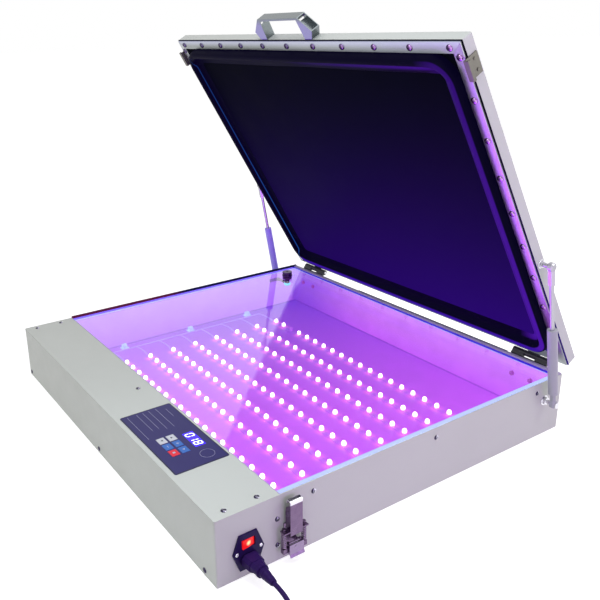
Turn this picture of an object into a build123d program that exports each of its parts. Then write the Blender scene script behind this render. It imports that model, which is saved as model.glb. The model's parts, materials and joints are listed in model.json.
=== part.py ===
from build123d import *
import math
import os

# A tabletop screen printing exposure unit: a flat steel base with a glass bed over rows of
# ultraviolet lamps, and a hinged vacuum lid with a rubber blanket, shown open.
# Millimetres. Origin: centre of the base's underside. +X right, +Y back, +Z up.

# ---- base case ----------------------------------------------------------------------------
BASE_WIDTH = 850.0
BASE_DEPTH = 770.0
BASE_HEIGHT = 112.0
SHEET = 1.5
EDGE_RADIUS = 2.5
SIDE_X = BASE_WIDTH / 2
BACK_Y = BASE_DEPTH / 2
FRONT_Y = -BACK_Y
COVER_DEPTH = 110.5
COVER_BACK_Y = FRONT_Y + COVER_DEPTH
COVER_FLANGE = 14.0
BOTTOM_FLANGE = 16.0
BULKHEAD_Y = COVER_BACK_Y - 2.0
BULKHEAD_TOP = 98.0
BULKHEAD_FLANGE = 12.0

# ---- glass bed and lamp chamber -----------------------------------------------------------
GLASS_THICKNESS = 8.0
GLASS_EDGE_GAP = 1.0
GASKET_THICKNESS = 1.5
GASKET_WIDTH = 13.0
GASKET_FRONT_WIDTH = 3.0
LINER_SHEET = 1.2
CHAMBER_SIDE_X = 408.0
CHAMBER_FRONT_Y = -271.0
CHAMBER_BACK_Y = 370.0
CHAMBER_FLOOR_Z = 10.0
RIM_SKIRT = 16.0
RIM_TOP = BASE_HEIGHT - GLASS_THICKNESS - GASKET_THICKNESS
LAMP_ROWS = 8
LAMPS_PER_ROW = 19
LAMP_PITCH = 32.95
ROW_PITCH = 60.6
FIRST_LAMP_X = -301.0
FIRST_ROW_Y = FRONT_Y + 190.0
LAMP_SIZE = 5.0
LAMP_HEIGHT = 1.4
BAR_WIDTH = 10.0
BAR_THICKNESS = 1.6
CLIP_X = -392.0
CLIP_Y = (-161.0, 23.0, 197.0)
WIRE_X = -384.0
WIRE_SIZE = 2.4

# ---- vacuum line --------------------------------------------------------------------------
PORT_X = -366.0
PORT_Y = 312.5
PORT_RADIUS = 13.5
PORT_HEIGHT = 12.0
PORT_STEM_RADIUS = 6.0
HOSE_RADIUS = 4.0
HOSE_Z = 86.0
HOSE_LANE_X = -(CHAMBER_SIDE_X + 7.7)
PUMP_X = -340.0
PUMP_Y = FRONT_Y + 55.0

# ---- controls -----------------------------------------------------------------------------
PANEL_X = (87.0, 295.0)
PANEL_Y = (FRONT_Y + 9.0, FRONT_Y + 106.0)
PANEL_THICKNESS = 0.8
DISPLAY_X = (195.6, 244.0)
DISPLAY_Y = (FRONT_Y + 73.0, FRONT_Y + 92.7)
KEY_WIDTH = 18.0
KEY_DEPTH = 14.0
KEY_GAP = 0.25
KEY_RISE = 0.6
KEY_COLUMNS = (196.0, 217.5, 239.0)
KEY_ROWS = (FRONT_Y + 36.0, FRONT_Y + 54.0)
BOARD_TOP = 103.0
BOARD_THICKNESS = 1.6

# ---- mains inlet and lead -----------------------------------------------------------------
INLET_Y = FRONT_Y + 53.0
INLET_Z = 43.5
INLET_HALF_HEIGHT = 29.8
INLET_SCREW_Y = (FRONT_Y + 33.0, FRONT_Y + 73.6)
INLET_SCREW_Z = 44.5
FLANGE_THICKNESS = 3.0
ROCKER_Z = 57.0
ROCKER_HALF_Y = 11.5
ROCKER_HALF_Z = 7.5
ROCKER_AXIS_X = SIDE_X + 0.5
SOCKET_Z = 31.0
SOCKET_HALF_Y = 12.2
SOCKET_HALF_Z = 8.2
SOCKET_DEPTH = 15.0
CORD_RADIUS = 3.5
CORD_SIDES = 8
CORD_EXIT_X = 490.0
COIL_ENTRY_X = 592.0
COIL_OUTER_RADIUS = 50.0
COIL_PITCH = 7.7
COIL_LAYER = 7.6
COIL_TURNS_PER_LAYER = 2.5
TAIL_LENGTH = 45.0

# ---- lid, drawn shut and then swung open --------------------------------------------------
LID_OPEN = 59.48
LID_WIDTH = 846.5
LID_LENGTH = 700.0
LID_PAN_HEIGHT = 20.0
LID_BACK_Y = 395.0
LID_FRONT_Y = LID_BACK_Y - LID_LENGTH
LID_X = LID_WIDTH / 2
RING_HEIGHT = 19.0
SEAL_GAP = 0.3
RUBBER_THICKNESS = 1.5
RUBBER_Z = BASE_HEIGHT + SEAL_GAP + RING_HEIGHT
PAN_TOP_Z = RUBBER_Z + LID_PAN_HEIGHT
PAN_FLANGE = 20.0
STRIP_INSET = 1.8
STRIP_WIDTH = 18.6
STRIP_THICKNESS = 3.0
RING_INSET = 22.0
RING_CORNER = 45.0
RING_PROFILE = (
    (0, 0), (0.8, 12), (2.6, 15.8), (6, 17.4), (12.5, 17.5),
    (16.5, 15.8), (19.2, 10), (21.4, 5), (34, 0),
)
CLAMP_SCREW_INSET = 11.0
CLAMP_SCREW_RADIUS = 5.6
CLAMP_SCREW_HEIGHT = 3.2
FRONT_SCREWS = 11
FRONT_SCREW_PITCH = 79.8
SIDE_SCREWS = 10
SIDE_SCREW_PITCH = 73.5
FIRST_SIDE_SCREW = 12.0
HANDLE_DEPTH = 20.0
HANDLE_HALF_GAP = 60.0
HANDLE_FOOT = 20.0
HANDLE_RISE = 43.0
HANDLE_BAR = 4.5

# ---- hinge --------------------------------------------------------------------------------
HINGE_Y = 395.0
HINGE_Z = 119.7
HINGE_AXIS = Axis((0, HINGE_Y, HINGE_Z), (1, 0, 0))
HINGE_X = (306.0, 388.0)
KNUCKLE_RADIUS = 6.0
KNUCKLES = 3
KNUCKLE_GAP = 0.3
HINGE_PIN_RADIUS = 3.0
PIN_CLEARANCE = 0.05
LEAF = 2.5
HINGE_BOLT_X = (325.0, 368.0)
HINGE_BOLT_Z = 75.0

# ---- gas struts, one at each side ---------------------------------------------------------
STRUT_X = 445.0
STRUT_FOOT_Y = 335.0
STRUT_FOOT_Z = 73.0
STRUT_HEAD_Y = 282.7
STRUT_HEAD_Z = 352.2
STRUT_TUBE_RADIUS = 9.0
STRUT_TUBE = (24.0, 160.0)
STRUT_ROD_RADIUS = 4.0
STRUT_ROD_END = 138.0
EYE_RADIUS = 8.0
EYE_HALF_WIDTH = 6.0
STUD_RADIUS = 4.0
OPEN_LINK_GAP = 0.4

# ---- toggle latches, one at each side -----------------------------------------------------
LATCH_Y = -258.0
LATCH_PIVOT_X = SIDE_X + 12.0
LATCH_PIVOT_Z = 31.0
CLAW_PIN_X = LATCH_PIVOT_X - 1.0
CLAW_PIN_Z = LATCH_PIVOT_Z - 9.0
LATCH_SHEET = 1.5
EAR_HALF_WIDTH = 11.0
LEVER_HALF_WIDTH = 13.0
CLAW_HALF_WIDTH = 11.0
CLAW_TOP = 107.0
SPRING_Y = 18.0
SPRING_RADIUS = 3.5
SPRING_WIRE = 1.3
SPRING_TURNS = 4
SPRING_SIDES = 3
SPRING_Z = (27.2, 54.0)
KEEPER_FRONT = LID_BACK_Y - 655.0


def block(x, y, z):
    """A box between two limits on each axis."""
    centre = Pos((x[0] + x[1]) / 2, (y[0] + y[1]) / 2, (z[0] + z[1]) / 2)
    return centre * Box(abs(x[1] - x[0]), abs(y[1] - y[0]), abs(z[1] - z[0]))


def bar_x(radius, x, y, z):
    """A round bar along X."""
    return Pos((x[0] + x[1]) / 2, y, z) * Rot(0, 90, 0) * Cylinder(radius, abs(x[1] - x[0]))


def bar_y(radius, x, y, z):
    """A round bar along Y."""
    return Pos(x, (y[0] + y[1]) / 2, z) * Rot(90, 0, 0) * Cylinder(radius, abs(y[1] - y[0]))


def bar_z(radius, x, y, z):
    """A round bar along Z."""
    return Pos(x, y, (z[0] + z[1]) / 2) * Cylinder(radius, abs(z[1] - z[0]))


def group(pieces):
    """Separate solids kept side by side in one node."""
    return Compound([solid for piece in pieces for solid in piece.solids()])


def other_side(piece):
    return piece.mirror(Plane.YZ)


def both_sides(pieces):
    return group(list(pieces) + [other_side(piece) for piece in pieces])


def prism_x(points, x):
    """A profile drawn in Y and Z, run along X."""
    face = make_face(Polyline([(x[0], y, z) for y, z in points], close=True))
    return extrude(face, amount=x[1] - x[0], dir=(1, 0, 0))


def prism_y(points, y):
    """A profile drawn in X and Z, run along Y."""
    face = make_face(Polyline([(x, y[0], z) for x, z in points], close=True))
    return extrude(face, amount=y[1] - y[0], dir=(0, 1, 0))


def ring_corners(plane, radius, sides):
    """The corners of a regular polygon on a plane."""
    turns = [2 * math.pi * side / sides for side in range(sides)]
    places = [(radius * math.cos(turn), radius * math.sin(turn), 0) for turn in turns]
    return [plane.from_local_coords(place) for place in places]


def cut_rectangle(plane, width, height, cut):
    """The corners on a plane of a centred rectangle with its corners cut off."""
    x = width / 2
    y = height / 2
    corners = [
        (x, y - cut), (x - cut, y), (cut - x, y), (-x, y - cut),
        (-x, cut - y), (cut - x, -y), (x - cut, -y), (x, cut - y),
    ]
    return [plane.from_local_coords((px, py, 0)) for px, py in corners]


def flat_sided(start, end):
    """A solid with flat sides between two outlines of the same proportions."""
    turned_start = start[1:] + start[:1]
    turned_end = end[1:] + end[:1]
    outlines = [list(corners) for corners in zip(start, turned_start, turned_end, end)]
    faces = [make_face(Polyline(outline, close=True)).face() for outline in outlines + [start, end]]
    return Solid(Shell(faces))


def flat_taper(plane, lengths, sides):
    """Tapering lengths with flat sides, each a start, an end and the radius at either."""
    taper = Part()
    for start, end, start_radius, end_radius in lengths:
        root = ring_corners(plane.offset(start), start_radius, sides)
        taper += flat_sided(root, ring_corners(plane.offset(end), end_radius, sides))
    return taper


# ---- case ---------------------------------------------------------------------------------

def housing():
    """Four folded walls, with flanges under the control cover."""
    walls = block((-SIDE_X, SIDE_X), (FRONT_Y, BACK_Y), (0, BASE_HEIGHT))
    walls = fillet(walls.edges().filter_by(Axis.Z), EDGE_RADIUS)
    inner_x = SIDE_X - SHEET
    inner_y = BACK_Y - SHEET
    walls -= block((-inner_x, inner_x), (-inner_y, inner_y), (-1, BASE_HEIGHT + 1))
    cover_seat = BASE_HEIGHT - SHEET
    walls -= block((-SIDE_X, SIDE_X), (FRONT_Y, COVER_BACK_Y), (cover_seat, BASE_HEIGHT + 1))
    flange_z = (cover_seat - SHEET, cover_seat)
    walls += block((-inner_x, inner_x), (-inner_y, -inner_y + COVER_FLANGE), flange_z)
    for side in (-1, 1):
        flange_x = (side * (inner_x - COVER_FLANGE), side * inner_x)
        walls += block(flange_x, (-inner_y, BULKHEAD_Y - 1), flange_z)
    walls -= block((SIDE_X - 2, SIDE_X + 1), inlet_hole_y(), inlet_hole_z())
    for x in hinge_bolt_places():
        walls -= bar_y(2.7, x, (BACK_Y - 3, BACK_Y + 1), HINGE_BOLT_Z)
    return walls


def inlet_hole_y():
    return (INLET_Y - 14.2, INLET_Y + 14.2)


def inlet_hole_z():
    return (INLET_Z - 24.0, INLET_Z + 24.0)


def hinge_bolt_places():
    return [side * x for side in (-1, 1) for x in HINGE_BOLT_X]


def bottom_plate():
    """A tray with an upturned edge, let in between the walls."""
    x = SIDE_X - SHEET
    y = BACK_Y - SHEET
    tray = block((-x, x), (-y, y), (0, BOTTOM_FLANGE))
    tray -= block((-x + SHEET, x - SHEET), (-y + SHEET, y - SHEET), (SHEET, BOTTOM_FLANGE + 1))
    return tray


def bulkhead():
    """The cross wall between the control bay and the lamp chamber."""
    x = SIDE_X - SHEET
    wall_y = (BULKHEAD_Y - SHEET, BULKHEAD_Y)
    z = (BOTTOM_FLANGE + 0.5, BULKHEAD_TOP)
    wall = block((-x, x), wall_y, z)
    for side in (-1, 1):
        flange_x = (side * (x - SHEET), side * x)
        wall += block(flange_x, (BULKHEAD_Y - BULKHEAD_FLANGE, BULKHEAD_Y), z)
    hose_way = bar_y(HOSE_RADIUS + 1, HOSE_LANE_X, (BULKHEAD_Y - 3, BULKHEAD_Y + 1), HOSE_Z)
    return wall - hose_way


def control_cover():
    """The flat front cover, cut out for the display and the keys."""
    z = (BASE_HEIGHT - SHEET, BASE_HEIGHT)
    plate = block((-SIDE_X, SIDE_X), (FRONT_Y, COVER_BACK_Y), z)
    plate = fillet(plate.edges().filter_by(Axis.Z).group_by(Axis.Y)[0], EDGE_RADIUS)
    lip_y = (COVER_BACK_Y - SHEET, COVER_BACK_Y)
    lip_x = SIDE_X - SHEET - COVER_FLANGE - 1
    plate += block((-lip_x, lip_x), lip_y, (BULKHEAD_TOP + 1, BASE_HEIGHT))
    plate -= block(*display_window(), (z[0] - 1, z[1] + 1))
    keys_x = (KEY_COLUMNS[0] - 11, KEY_COLUMNS[-1] + 11)
    keys_y = (KEY_ROWS[0] - 9, KEY_ROWS[-1] + 9)
    return plate - block(keys_x, keys_y, (z[0] - 1, z[1] + 1))


def display_window():
    """The hole that the display stands in, as limits in X and Y."""
    x = (DISPLAY_X[0], DISPLAY_X[1])
    return x, (DISPLAY_Y[0], DISPLAY_Y[1])


def screw_head(radius, height):
    """A screw's head, standing on its seat, with eight plain sides."""
    return extrude(RegularPolygon(radius, 8), height)


def case_screws():
    """Heads of the screws that hold the cover, bottom tray, bulkhead and chamber rim."""
    radius = 3.8
    height = 1.6
    head = screw_head(radius, height)
    cover_places = [(x, FRONT_Y + y) for x in (-410, 410) for y in (24.5, 80)] + [(0, FRONT_Y + 85)]
    heads = [Pos(x, y, BASE_HEIGHT) * head for x, y in cover_places]
    heads += [Pos(x, FRONT_Y, 9) * Rot(90, 0, 0) * head for x in (-411, -7, 391)]
    heads += [Pos(x, BACK_Y, 9) * Rot(-90, 0, 0) * head for x in (-411, 0, 411)]
    side_places = [(-213, 94), (46, 94), (312, 94), (-279.5, 72.7), (-279.5, 27.5)]
    right = [Pos(SIDE_X, y, z) * Rot(0, 90, 0) * head for y, z in side_places]
    return group(heads + right + [other_side(piece) for piece in right])


# ---- glass bed and lamp chamber -----------------------------------------------------------

def chamber_liner():
    """A white tray under the glass, hung from a rim with a turned-down skirt."""
    x = CHAMBER_SIDE_X
    y = (CHAMBER_FRONT_Y, CHAMBER_BACK_Y)
    outer_x = x + LINER_SHEET
    outer_y = (y[0] - LINER_SHEET, y[1] + LINER_SHEET)
    tray = block((-outer_x, outer_x), outer_y, (CHAMBER_FLOOR_Z - LINER_SHEET, RIM_TOP))
    rim_x = SIDE_X - SHEET
    rim_y = (COVER_BACK_Y, BACK_Y - SHEET)
    rim = block((-rim_x, rim_x), rim_y, (RIM_TOP - RIM_SKIRT, RIM_TOP))
    skirt_x = rim_x - LINER_SHEET
    skirt_y = (rim_y[0], rim_y[1] - LINER_SHEET)
    under_rim = (RIM_TOP - RIM_SKIRT - 1, RIM_TOP - LINER_SHEET)
    rim -= block((-skirt_x, skirt_x), (skirt_y[0] - 1, skirt_y[1]), under_rim)
    tray += rim
    tray -= block((-x, x), y, (CHAMBER_FLOOR_Z, RIM_TOP + 1))
    hose_slot_y = (PORT_Y - 30, PORT_Y + HOSE_RADIUS + 1)
    hose_slot_z = (HOSE_Z - HOSE_RADIUS - 1, HOSE_Z + HOSE_RADIUS + 1)
    tray -= block((-outer_x - 1, -x + 1), hose_slot_y, hose_slot_z)
    for bolt_x in hinge_bolt_places():
        tray -= bar_y(2.7, bolt_x, (y[1] - 1, y[1] + 3), HINGE_BOLT_Z)
    return tray


def glass_gasket():
    """A flat foam frame between the rim and the glass."""
    x = SIDE_X - SHEET - GLASS_EDGE_GAP
    y = (COVER_BACK_Y + 0.5, BACK_Y - SHEET - GLASS_EDGE_GAP)
    z = (RIM_TOP, RIM_TOP + GASKET_THICKNESS)
    inner_y = (y[0] + GASKET_FRONT_WIDTH, y[1] - GASKET_WIDTH + 1)
    inner_x = x - GASKET_WIDTH
    return block((-x, x), y, z) - block((-inner_x, inner_x), inner_y, (z[0] - 1, z[1] + 1))


def glass_plate():
    """The glass bed, flush with the top of the case and drilled for the vacuum port."""
    x = SIDE_X - SHEET - GLASS_EDGE_GAP
    y = (COVER_BACK_Y + 0.5, BACK_Y - SHEET - GLASS_EDGE_GAP)
    glass = block((-x, x), y, (BASE_HEIGHT - GLASS_THICKNESS, BASE_HEIGHT))
    glass = chamfer(glass.faces().sort_by(Axis.Z)[-1].edges(), 0.8)
    hole_z = (BASE_HEIGHT - GLASS_THICKNESS - 1, BASE_HEIGHT + 1)
    return glass - bar_z(PORT_STEM_RADIUS + 0.3, PORT_X, PORT_Y, hole_z)


def led_bars():
    """Rows of lamps on long circuit strips, on the chamber's floor."""
    top = CHAMBER_FLOOR_Z + BAR_THICKNESS
    last_x = FIRST_LAMP_X + (LAMPS_PER_ROW - 1) * LAMP_PITCH
    end = LAMP_PITCH / 2
    strip = block(
        (FIRST_LAMP_X - end, last_x + end),
        (-BAR_WIDTH / 2, BAR_WIDTH / 2),
        (CHAMBER_FLOOR_Z, top),
    )
    half = LAMP_SIZE / 2
    for lamp in range(LAMPS_PER_ROW):
        x = FIRST_LAMP_X + lamp * LAMP_PITCH
        strip += block((x - half, x + half), (-half, half), (top, top + LAMP_HEIGHT))
    return group([Pos(0, FIRST_ROW_Y + row * ROW_PITCH, 0) * strip for row in range(LAMP_ROWS)])


def led_wiring():
    """A feed along the chamber's left side, with a branch to each row of lamps."""
    z = (CHAMBER_FLOOR_Z, CHAMBER_FLOOR_Z + WIRE_SIZE)
    x = (WIRE_X, WIRE_X + WIRE_SIZE)
    last_y = FIRST_ROW_Y + (LAMP_ROWS - 1) * ROW_PITCH
    harness = block(x, (CHAMBER_FRONT_Y, last_y + WIRE_SIZE), z)
    strip_end = FIRST_LAMP_X - LAMP_PITCH / 2
    for row in range(LAMP_ROWS):
        y = FIRST_ROW_Y + row * ROW_PITCH
        harness += block((x[0], strip_end), (y, y + WIRE_SIZE), z)
    return harness


def cable_clips():
    """Three stick-on cable saddles beside the left wall."""
    floor = CHAMBER_FLOOR_Z
    half_arch = [(6.5, 1), (6.5, 8), (3, 11.5)]
    half_gap = [(4.5, 2), (4.5, 7.2), (2, 9.5)]
    clips = []
    for y in CLIP_Y:
        foot = block((CLIP_X - 7, CLIP_X + 7), (y - 9, y + 9), (floor, floor + 2))
        arch, gap = (
            [(CLIP_X + across, floor + up) for across, up in half]
            + [(CLIP_X - across, floor + up) for across, up in reversed(half)]
            for half in (half_arch, half_gap)
        )
        clips.append(foot + prism_y(arch, (y - 5, y + 5)) - prism_y(gap, (y - 6, y + 6)))
    return group(clips)


# ---- vacuum line --------------------------------------------------------------------------

def vacuum_port():
    """The suction port: a waisted cap on the glass, a stem through it and an elbow below."""
    top = BASE_HEIGHT + PORT_HEIGHT
    waist = PORT_RADIUS - 2.5
    half_profile = [
        (0, HOSE_Z - 6),
        (PORT_STEM_RADIUS, HOSE_Z - 6),
        (PORT_STEM_RADIUS, BASE_HEIGHT),
        (PORT_RADIUS, BASE_HEIGHT),
        (PORT_RADIUS, BASE_HEIGHT + 4),
        (waist, BASE_HEIGHT + 4),
        (waist, top - 4.5),
        (PORT_RADIUS - 0.7, top - 4.5),
        (PORT_RADIUS - 0.7, top),
        (3, top),
        (3, top - 5),
        (0, top - 5),
    ]
    profile = make_face(Polyline([(r, 0, z) for r, z in half_profile], close=True))
    body = Pos(PORT_X, PORT_Y, 0) * revolve(profile, Axis.Z)
    return body + bar_x(HOSE_RADIUS, (PORT_X - 18, PORT_X), PORT_Y, HOSE_Z)


def vacuum_port_nut():
    """The hexagon nut that clamps the port under the glass."""
    z = BASE_HEIGHT - GLASS_THICKNESS - 6
    nut = Pos(PORT_X, PORT_Y, z) * extrude(RegularPolygon(12, 6), 6)
    return nut - bar_z(PORT_STEM_RADIUS + 0.05, PORT_X, PORT_Y, (z - 1, z + 7))


def vacuum_hose():
    """The suction hose, from the port along the gap beside the chamber to the pump."""
    route = [
        (PORT_X - 18, PORT_Y, HOSE_Z),
        (HOSE_LANE_X, PORT_Y, HOSE_Z),
        (HOSE_LANE_X, PUMP_Y, HOSE_Z),
        (PUMP_X - 12, PUMP_Y, HOSE_Z),
    ]
    path = FilletPolyline(*route, radius=[24.0, 30.0])
    section = Plane(origin=route[0], z_dir=(-1, 0, 0)) * RegularPolygon(HOSE_RADIUS, 8)
    return sweep(section, path=path)


def vacuum_pump():
    """A small diaphragm pump on a foot plate, with its inlet barb up at the hose."""
    pump = block((PUMP_X, PUMP_X + 130), (PUMP_Y - 24, PUMP_Y + 24), (SHEET, 5))
    motor = Plane(origin=(PUMP_X + 42, PUMP_Y, 32), z_dir=(1, 0, 0))
    pump += flat_taper(motor, [(0, 86, 22, 22)], 12)
    pump += block((PUMP_X + 4, PUMP_X + 44), (PUMP_Y - 22, PUMP_Y + 22), (5, 76))
    head = Plane(origin=(PUMP_X + 24, PUMP_Y, 75))
    pump += flat_taper(head, [(0, 19, 17, 17)], 12)
    barb = Plane(origin=(PUMP_X - 12, PUMP_Y, HOSE_Z), z_dir=(1, 0, 0))
    return pump + flat_taper(barb, [(0, 36, HOSE_RADIUS, HOSE_RADIUS)], 8)


# ---- controls -----------------------------------------------------------------------------

def power_supply():
    """A caged switching supply on the bottom tray, with a terminal strip."""
    x = (-160, 55)
    y = (FRONT_Y + 8, FRONT_Y + 98)
    case = block(x, y, (SHEET, 51.5))
    case -= block((x[1] - 14, x[1] + 1), (y[0] + 2, y[1] - 2), (20, 53))
    return case + block((x[1] - 12, x[1] - 2), (y[0] + 8, y[1] - 8), (20, 32))


def control_panel():
    """The overlay on the cover, with a window and six key openings."""
    z = (BASE_HEIGHT, BASE_HEIGHT + PANEL_THICKNESS)
    panel = block(PANEL_X, PANEL_Y, z)
    panel = chamfer(panel.edges().filter_by(Axis.Z), 2)
    panel -= block(*display_window(), (z[0] - 1, z[1] + 1))
    half_x = KEY_WIDTH / 2 + KEY_GAP
    half_y = KEY_DEPTH / 2 + KEY_GAP
    for x, y in key_places():
        panel -= block((x - half_x, x + half_x), (y - half_y, y + half_y), (z[0] - 1, z[1] + 1))
    return panel


def key_places():
    """Key centres, column by column from the left, front key first."""
    return [(x, y) for x in KEY_COLUMNS for y in KEY_ROWS]


def key(x, y):
    """One key: a cap with bevelled edges on a square stem."""
    top = BASE_HEIGHT + PANEL_THICKNESS + KEY_RISE
    half_x = KEY_WIDTH / 2
    half_y = KEY_DEPTH / 2
    cap = block((x - half_x, x + half_x), (y - half_y, y + half_y), (top - 2.2, top))
    cap = chamfer(cap.faces().sort_by(Axis.Z)[-1].edges(), 0.4)
    return cap + block((x - 3, x + 3), (y - 3, y + 3), (BOARD_TOP + 3.2, top - 2.2))


def control_board():
    """The circuit board under the panel, hung on four pillars, with a switch below each key."""
    x = (KEY_COLUMNS[0] - 26, KEY_COLUMNS[-1] + 34)
    y = (FRONT_Y + 17, FRONT_Y + 104)
    board = block(x, y, (BOARD_TOP - BOARD_THICKNESS, BOARD_TOP))
    for pillar_x in (x[0] + 5, x[1] - 5):
        for pillar_y in (y[0] + 5, y[1] - 5):
            pillar = Plane(origin=(pillar_x, pillar_y, BOARD_TOP))
            board += flat_taper(pillar, [(0, BASE_HEIGHT - SHEET - BOARD_TOP, 3, 3)], 6)
    for key_x, key_y in key_places():
        board += block((key_x - 3, key_x + 3), (key_y - 3, key_y + 3), (BOARD_TOP, BOARD_TOP + 2.5))
    return board


def display_module():
    """A three-digit display standing on the board."""
    (x0, x1), (y0, y1) = display_window()
    gap = 0.2
    top = BASE_HEIGHT + PANEL_THICKNESS - 0.1
    return block((x0 + gap, x1 - gap), (y0 + gap, y1 - gap), (BOARD_TOP, top))


# ---- mains inlet, connector and lead ------------------------------------------------------

def inlet_outline():
    """The inlet flange's six corners, as Y and Z."""
    half = INLET_HALF_HEIGHT
    return [
        (INLET_Y - 15.5, INLET_Z + half),
        (INLET_Y + 15.0, INLET_Z + half),
        (INLET_Y + 26.5, INLET_Z - 0.5),
        (INLET_Y + 15.0, INLET_Z - half),
        (INLET_Y - 15.5, INLET_Z - half),
        (INLET_Y - 26.5, INLET_Z + 0.5),
    ]


def chamfered_rectangle(y, z, cut):
    """A rectangle in Y and Z with its two upper corners cut off."""
    return [
        (y[0], z[0]),
        (y[1], z[0]),
        (y[1], z[1] - cut),
        (y[1] - cut, z[1]),
        (y[0] + cut, z[1]),
        (y[0], z[1] - cut),
    ]


def inlet_body():
    """The inlet: a flange, a deep body, a recess for the connector and three pins."""
    flange = prism_x(inlet_outline(), (SIDE_X, SIDE_X + FLANGE_THICKNESS))
    y = inlet_hole_y()
    z = inlet_hole_z()
    back_x = SIDE_X - 30
    body = flange + block((back_x, SIDE_X), (y[0] + 0.2, y[1] - 0.2), (z[0] + 0.2, z[1] - 0.2))
    rocker_y = (INLET_Y - ROCKER_HALF_Y, INLET_Y + ROCKER_HALF_Y)
    rocker_z = (ROCKER_Z - ROCKER_HALF_Z, ROCKER_Z + ROCKER_HALF_Z)
    body -= block((SIDE_X - 14, SIDE_X + 5), rocker_y, rocker_z)
    socket = chamfered_rectangle(
        (INLET_Y - SOCKET_HALF_Y, INLET_Y + SOCKET_HALF_Y),
        (SOCKET_Z - SOCKET_HALF_Z, SOCKET_Z + SOCKET_HALF_Z),
        5,
    )
    body -= prism_x(socket, (SIDE_X + FLANGE_THICKNESS - SOCKET_DEPTH, SIDE_X + 5))
    for pin_y, pin_z in connector_pins():
        pin_x = (SIDE_X - SOCKET_DEPTH + FLANGE_THICKNESS, SIDE_X)
        body += block(pin_x, (pin_y - 1, pin_y + 1), (pin_z - 2, pin_z + 2))
    return body


def connector_pins():
    """The three pins of the inlet, as Y and Z."""
    return [(INLET_Y - 7, SOCKET_Z - 2), (INLET_Y, SOCKET_Z + 2), (INLET_Y + 7, SOCKET_Z - 2)]


def inlet_screws():
    x = SIDE_X + FLANGE_THICKNESS
    head = Rot(0, 90, 0) * screw_head(2.9, 1.4)
    return group([Pos(x, y, INLET_SCREW_Z) * head for y in INLET_SCREW_Y])


def rocker_switch():
    """The lit rocker, rocking about an upright axis, with its pressed end towards the back."""
    gap = 0.35
    half = ROCKER_HALF_Y - 0.9
    face_x = SIDE_X + FLANGE_THICKNESS
    outline = [
        (face_x + 1.6, INLET_Y - half),
        (face_x + 0.4, INLET_Y),
        (face_x - 2.2, INLET_Y + half),
        (face_x - 4.4, INLET_Y + half),
        (face_x - 7.0, INLET_Y + 3),
        (face_x - 7.0, INLET_Y - 3),
        (face_x - 3.0, INLET_Y - half),
    ]
    z = (ROCKER_Z - ROCKER_HALF_Z + gap, ROCKER_Z + ROCKER_HALF_Z - gap)
    face = make_face(Polyline([(x, y, z[0]) for x, y in outline], close=True))
    return extrude(face, amount=z[1] - z[0], dir=(0, 0, 1))


def power_connector():
    """The moulded connector in the inlet: nose, grip, collar and tapering strain relief."""
    gap = 0.3
    nose = chamfered_rectangle(
        (INLET_Y - SOCKET_HALF_Y + gap, INLET_Y + SOCKET_HALF_Y - gap),
        (SOCKET_Z - SOCKET_HALF_Z + gap, SOCKET_Z + SOCKET_HALF_Z - gap),
        5,
    )
    nose_back = SIDE_X + FLANGE_THICKNESS - SOCKET_DEPTH + gap
    front = SIDE_X + FLANGE_THICKNESS + 2
    body = prism_x(nose, (nose_back, front))
    for pin_y, pin_z in connector_pins():
        slot_x = (nose_back - 1, SIDE_X + 1)
        body -= block(slot_x, (pin_y - 1.3, pin_y + 1.3), (pin_z - 2.3, pin_z + 2.3))
    root = Plane(origin=(front, INLET_Y, SOCKET_Z), z_dir=(1, 0, 0), x_dir=(0, 1, 0))
    for start, end, first, last in ((0, 18, (28, 20), (26, 19)), (18, 28, (24, 17.5), (20, 16))):
        near = cut_rectangle(root.offset(start), *first, 5)
        body += flat_sided(near, cut_rectangle(root.offset(end), *last, 5))
    lengths = [
        (28, 33, 10.5, 10.5),
        (33, 41, 8, 7.2),
        (41, 50, 7.6, 6.2),
        (50, CORD_EXIT_X - front, 6.6, 5.2),
    ]
    return body + flat_taper(root, lengths, 12)


def cord_route():
    """The lead's way from the strain relief down to the surface, up to the coil."""
    y = INLET_Y
    floor = CORD_RADIUS
    return [
        (CORD_EXIT_X, y, SOCKET_Z),
        (CORD_EXIT_X + 21, y, SOCKET_Z),
        (CORD_EXIT_X + 41, y, SOCKET_Z - 10),
        (CORD_EXIT_X + 59.5, y, floor + 6),
        (COIL_ENTRY_X - 18, y, floor),
        (COIL_ENTRY_X, y, floor),
    ]


def route_radii(route):
    """The largest arc that each corner's runs leave room for."""
    radii = []
    for before, corner, after in zip(route, route[1:], route[2:]):
        run_in = Vector(*corner) - Vector(*before)
        run_out = Vector(*after) - Vector(*corner)
        half_turn = math.radians(run_in.get_angle(run_out)) / 2
        radii.append(0.45 * min(run_in.length, run_out.length) / math.tan(half_turn))
    return radii


def cord_section(start, direction):
    """The lead's section, a regular polygon standing on one of its sides."""
    plane = Plane(origin=start, z_dir=direction, x_dir=(0, 0, 1))
    half_side = 180 / CORD_SIDES
    return plane * Rot(0, 0, half_side) * RegularPolygon(CORD_RADIUS, CORD_SIDES, major_radius=False)


def cord_lead():
    """The lead's free stretch."""
    route = cord_route()
    radii = route_radii(route)
    print("lead radii", [round(radius, 1) for radius in radii])
    path = FilletPolyline(*route, radius=radii)
    direction = (Vector(*route[1]) - Vector(*route[0])).normalized()
    return sweep(cord_section(route[0], direction), path=path)


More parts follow.
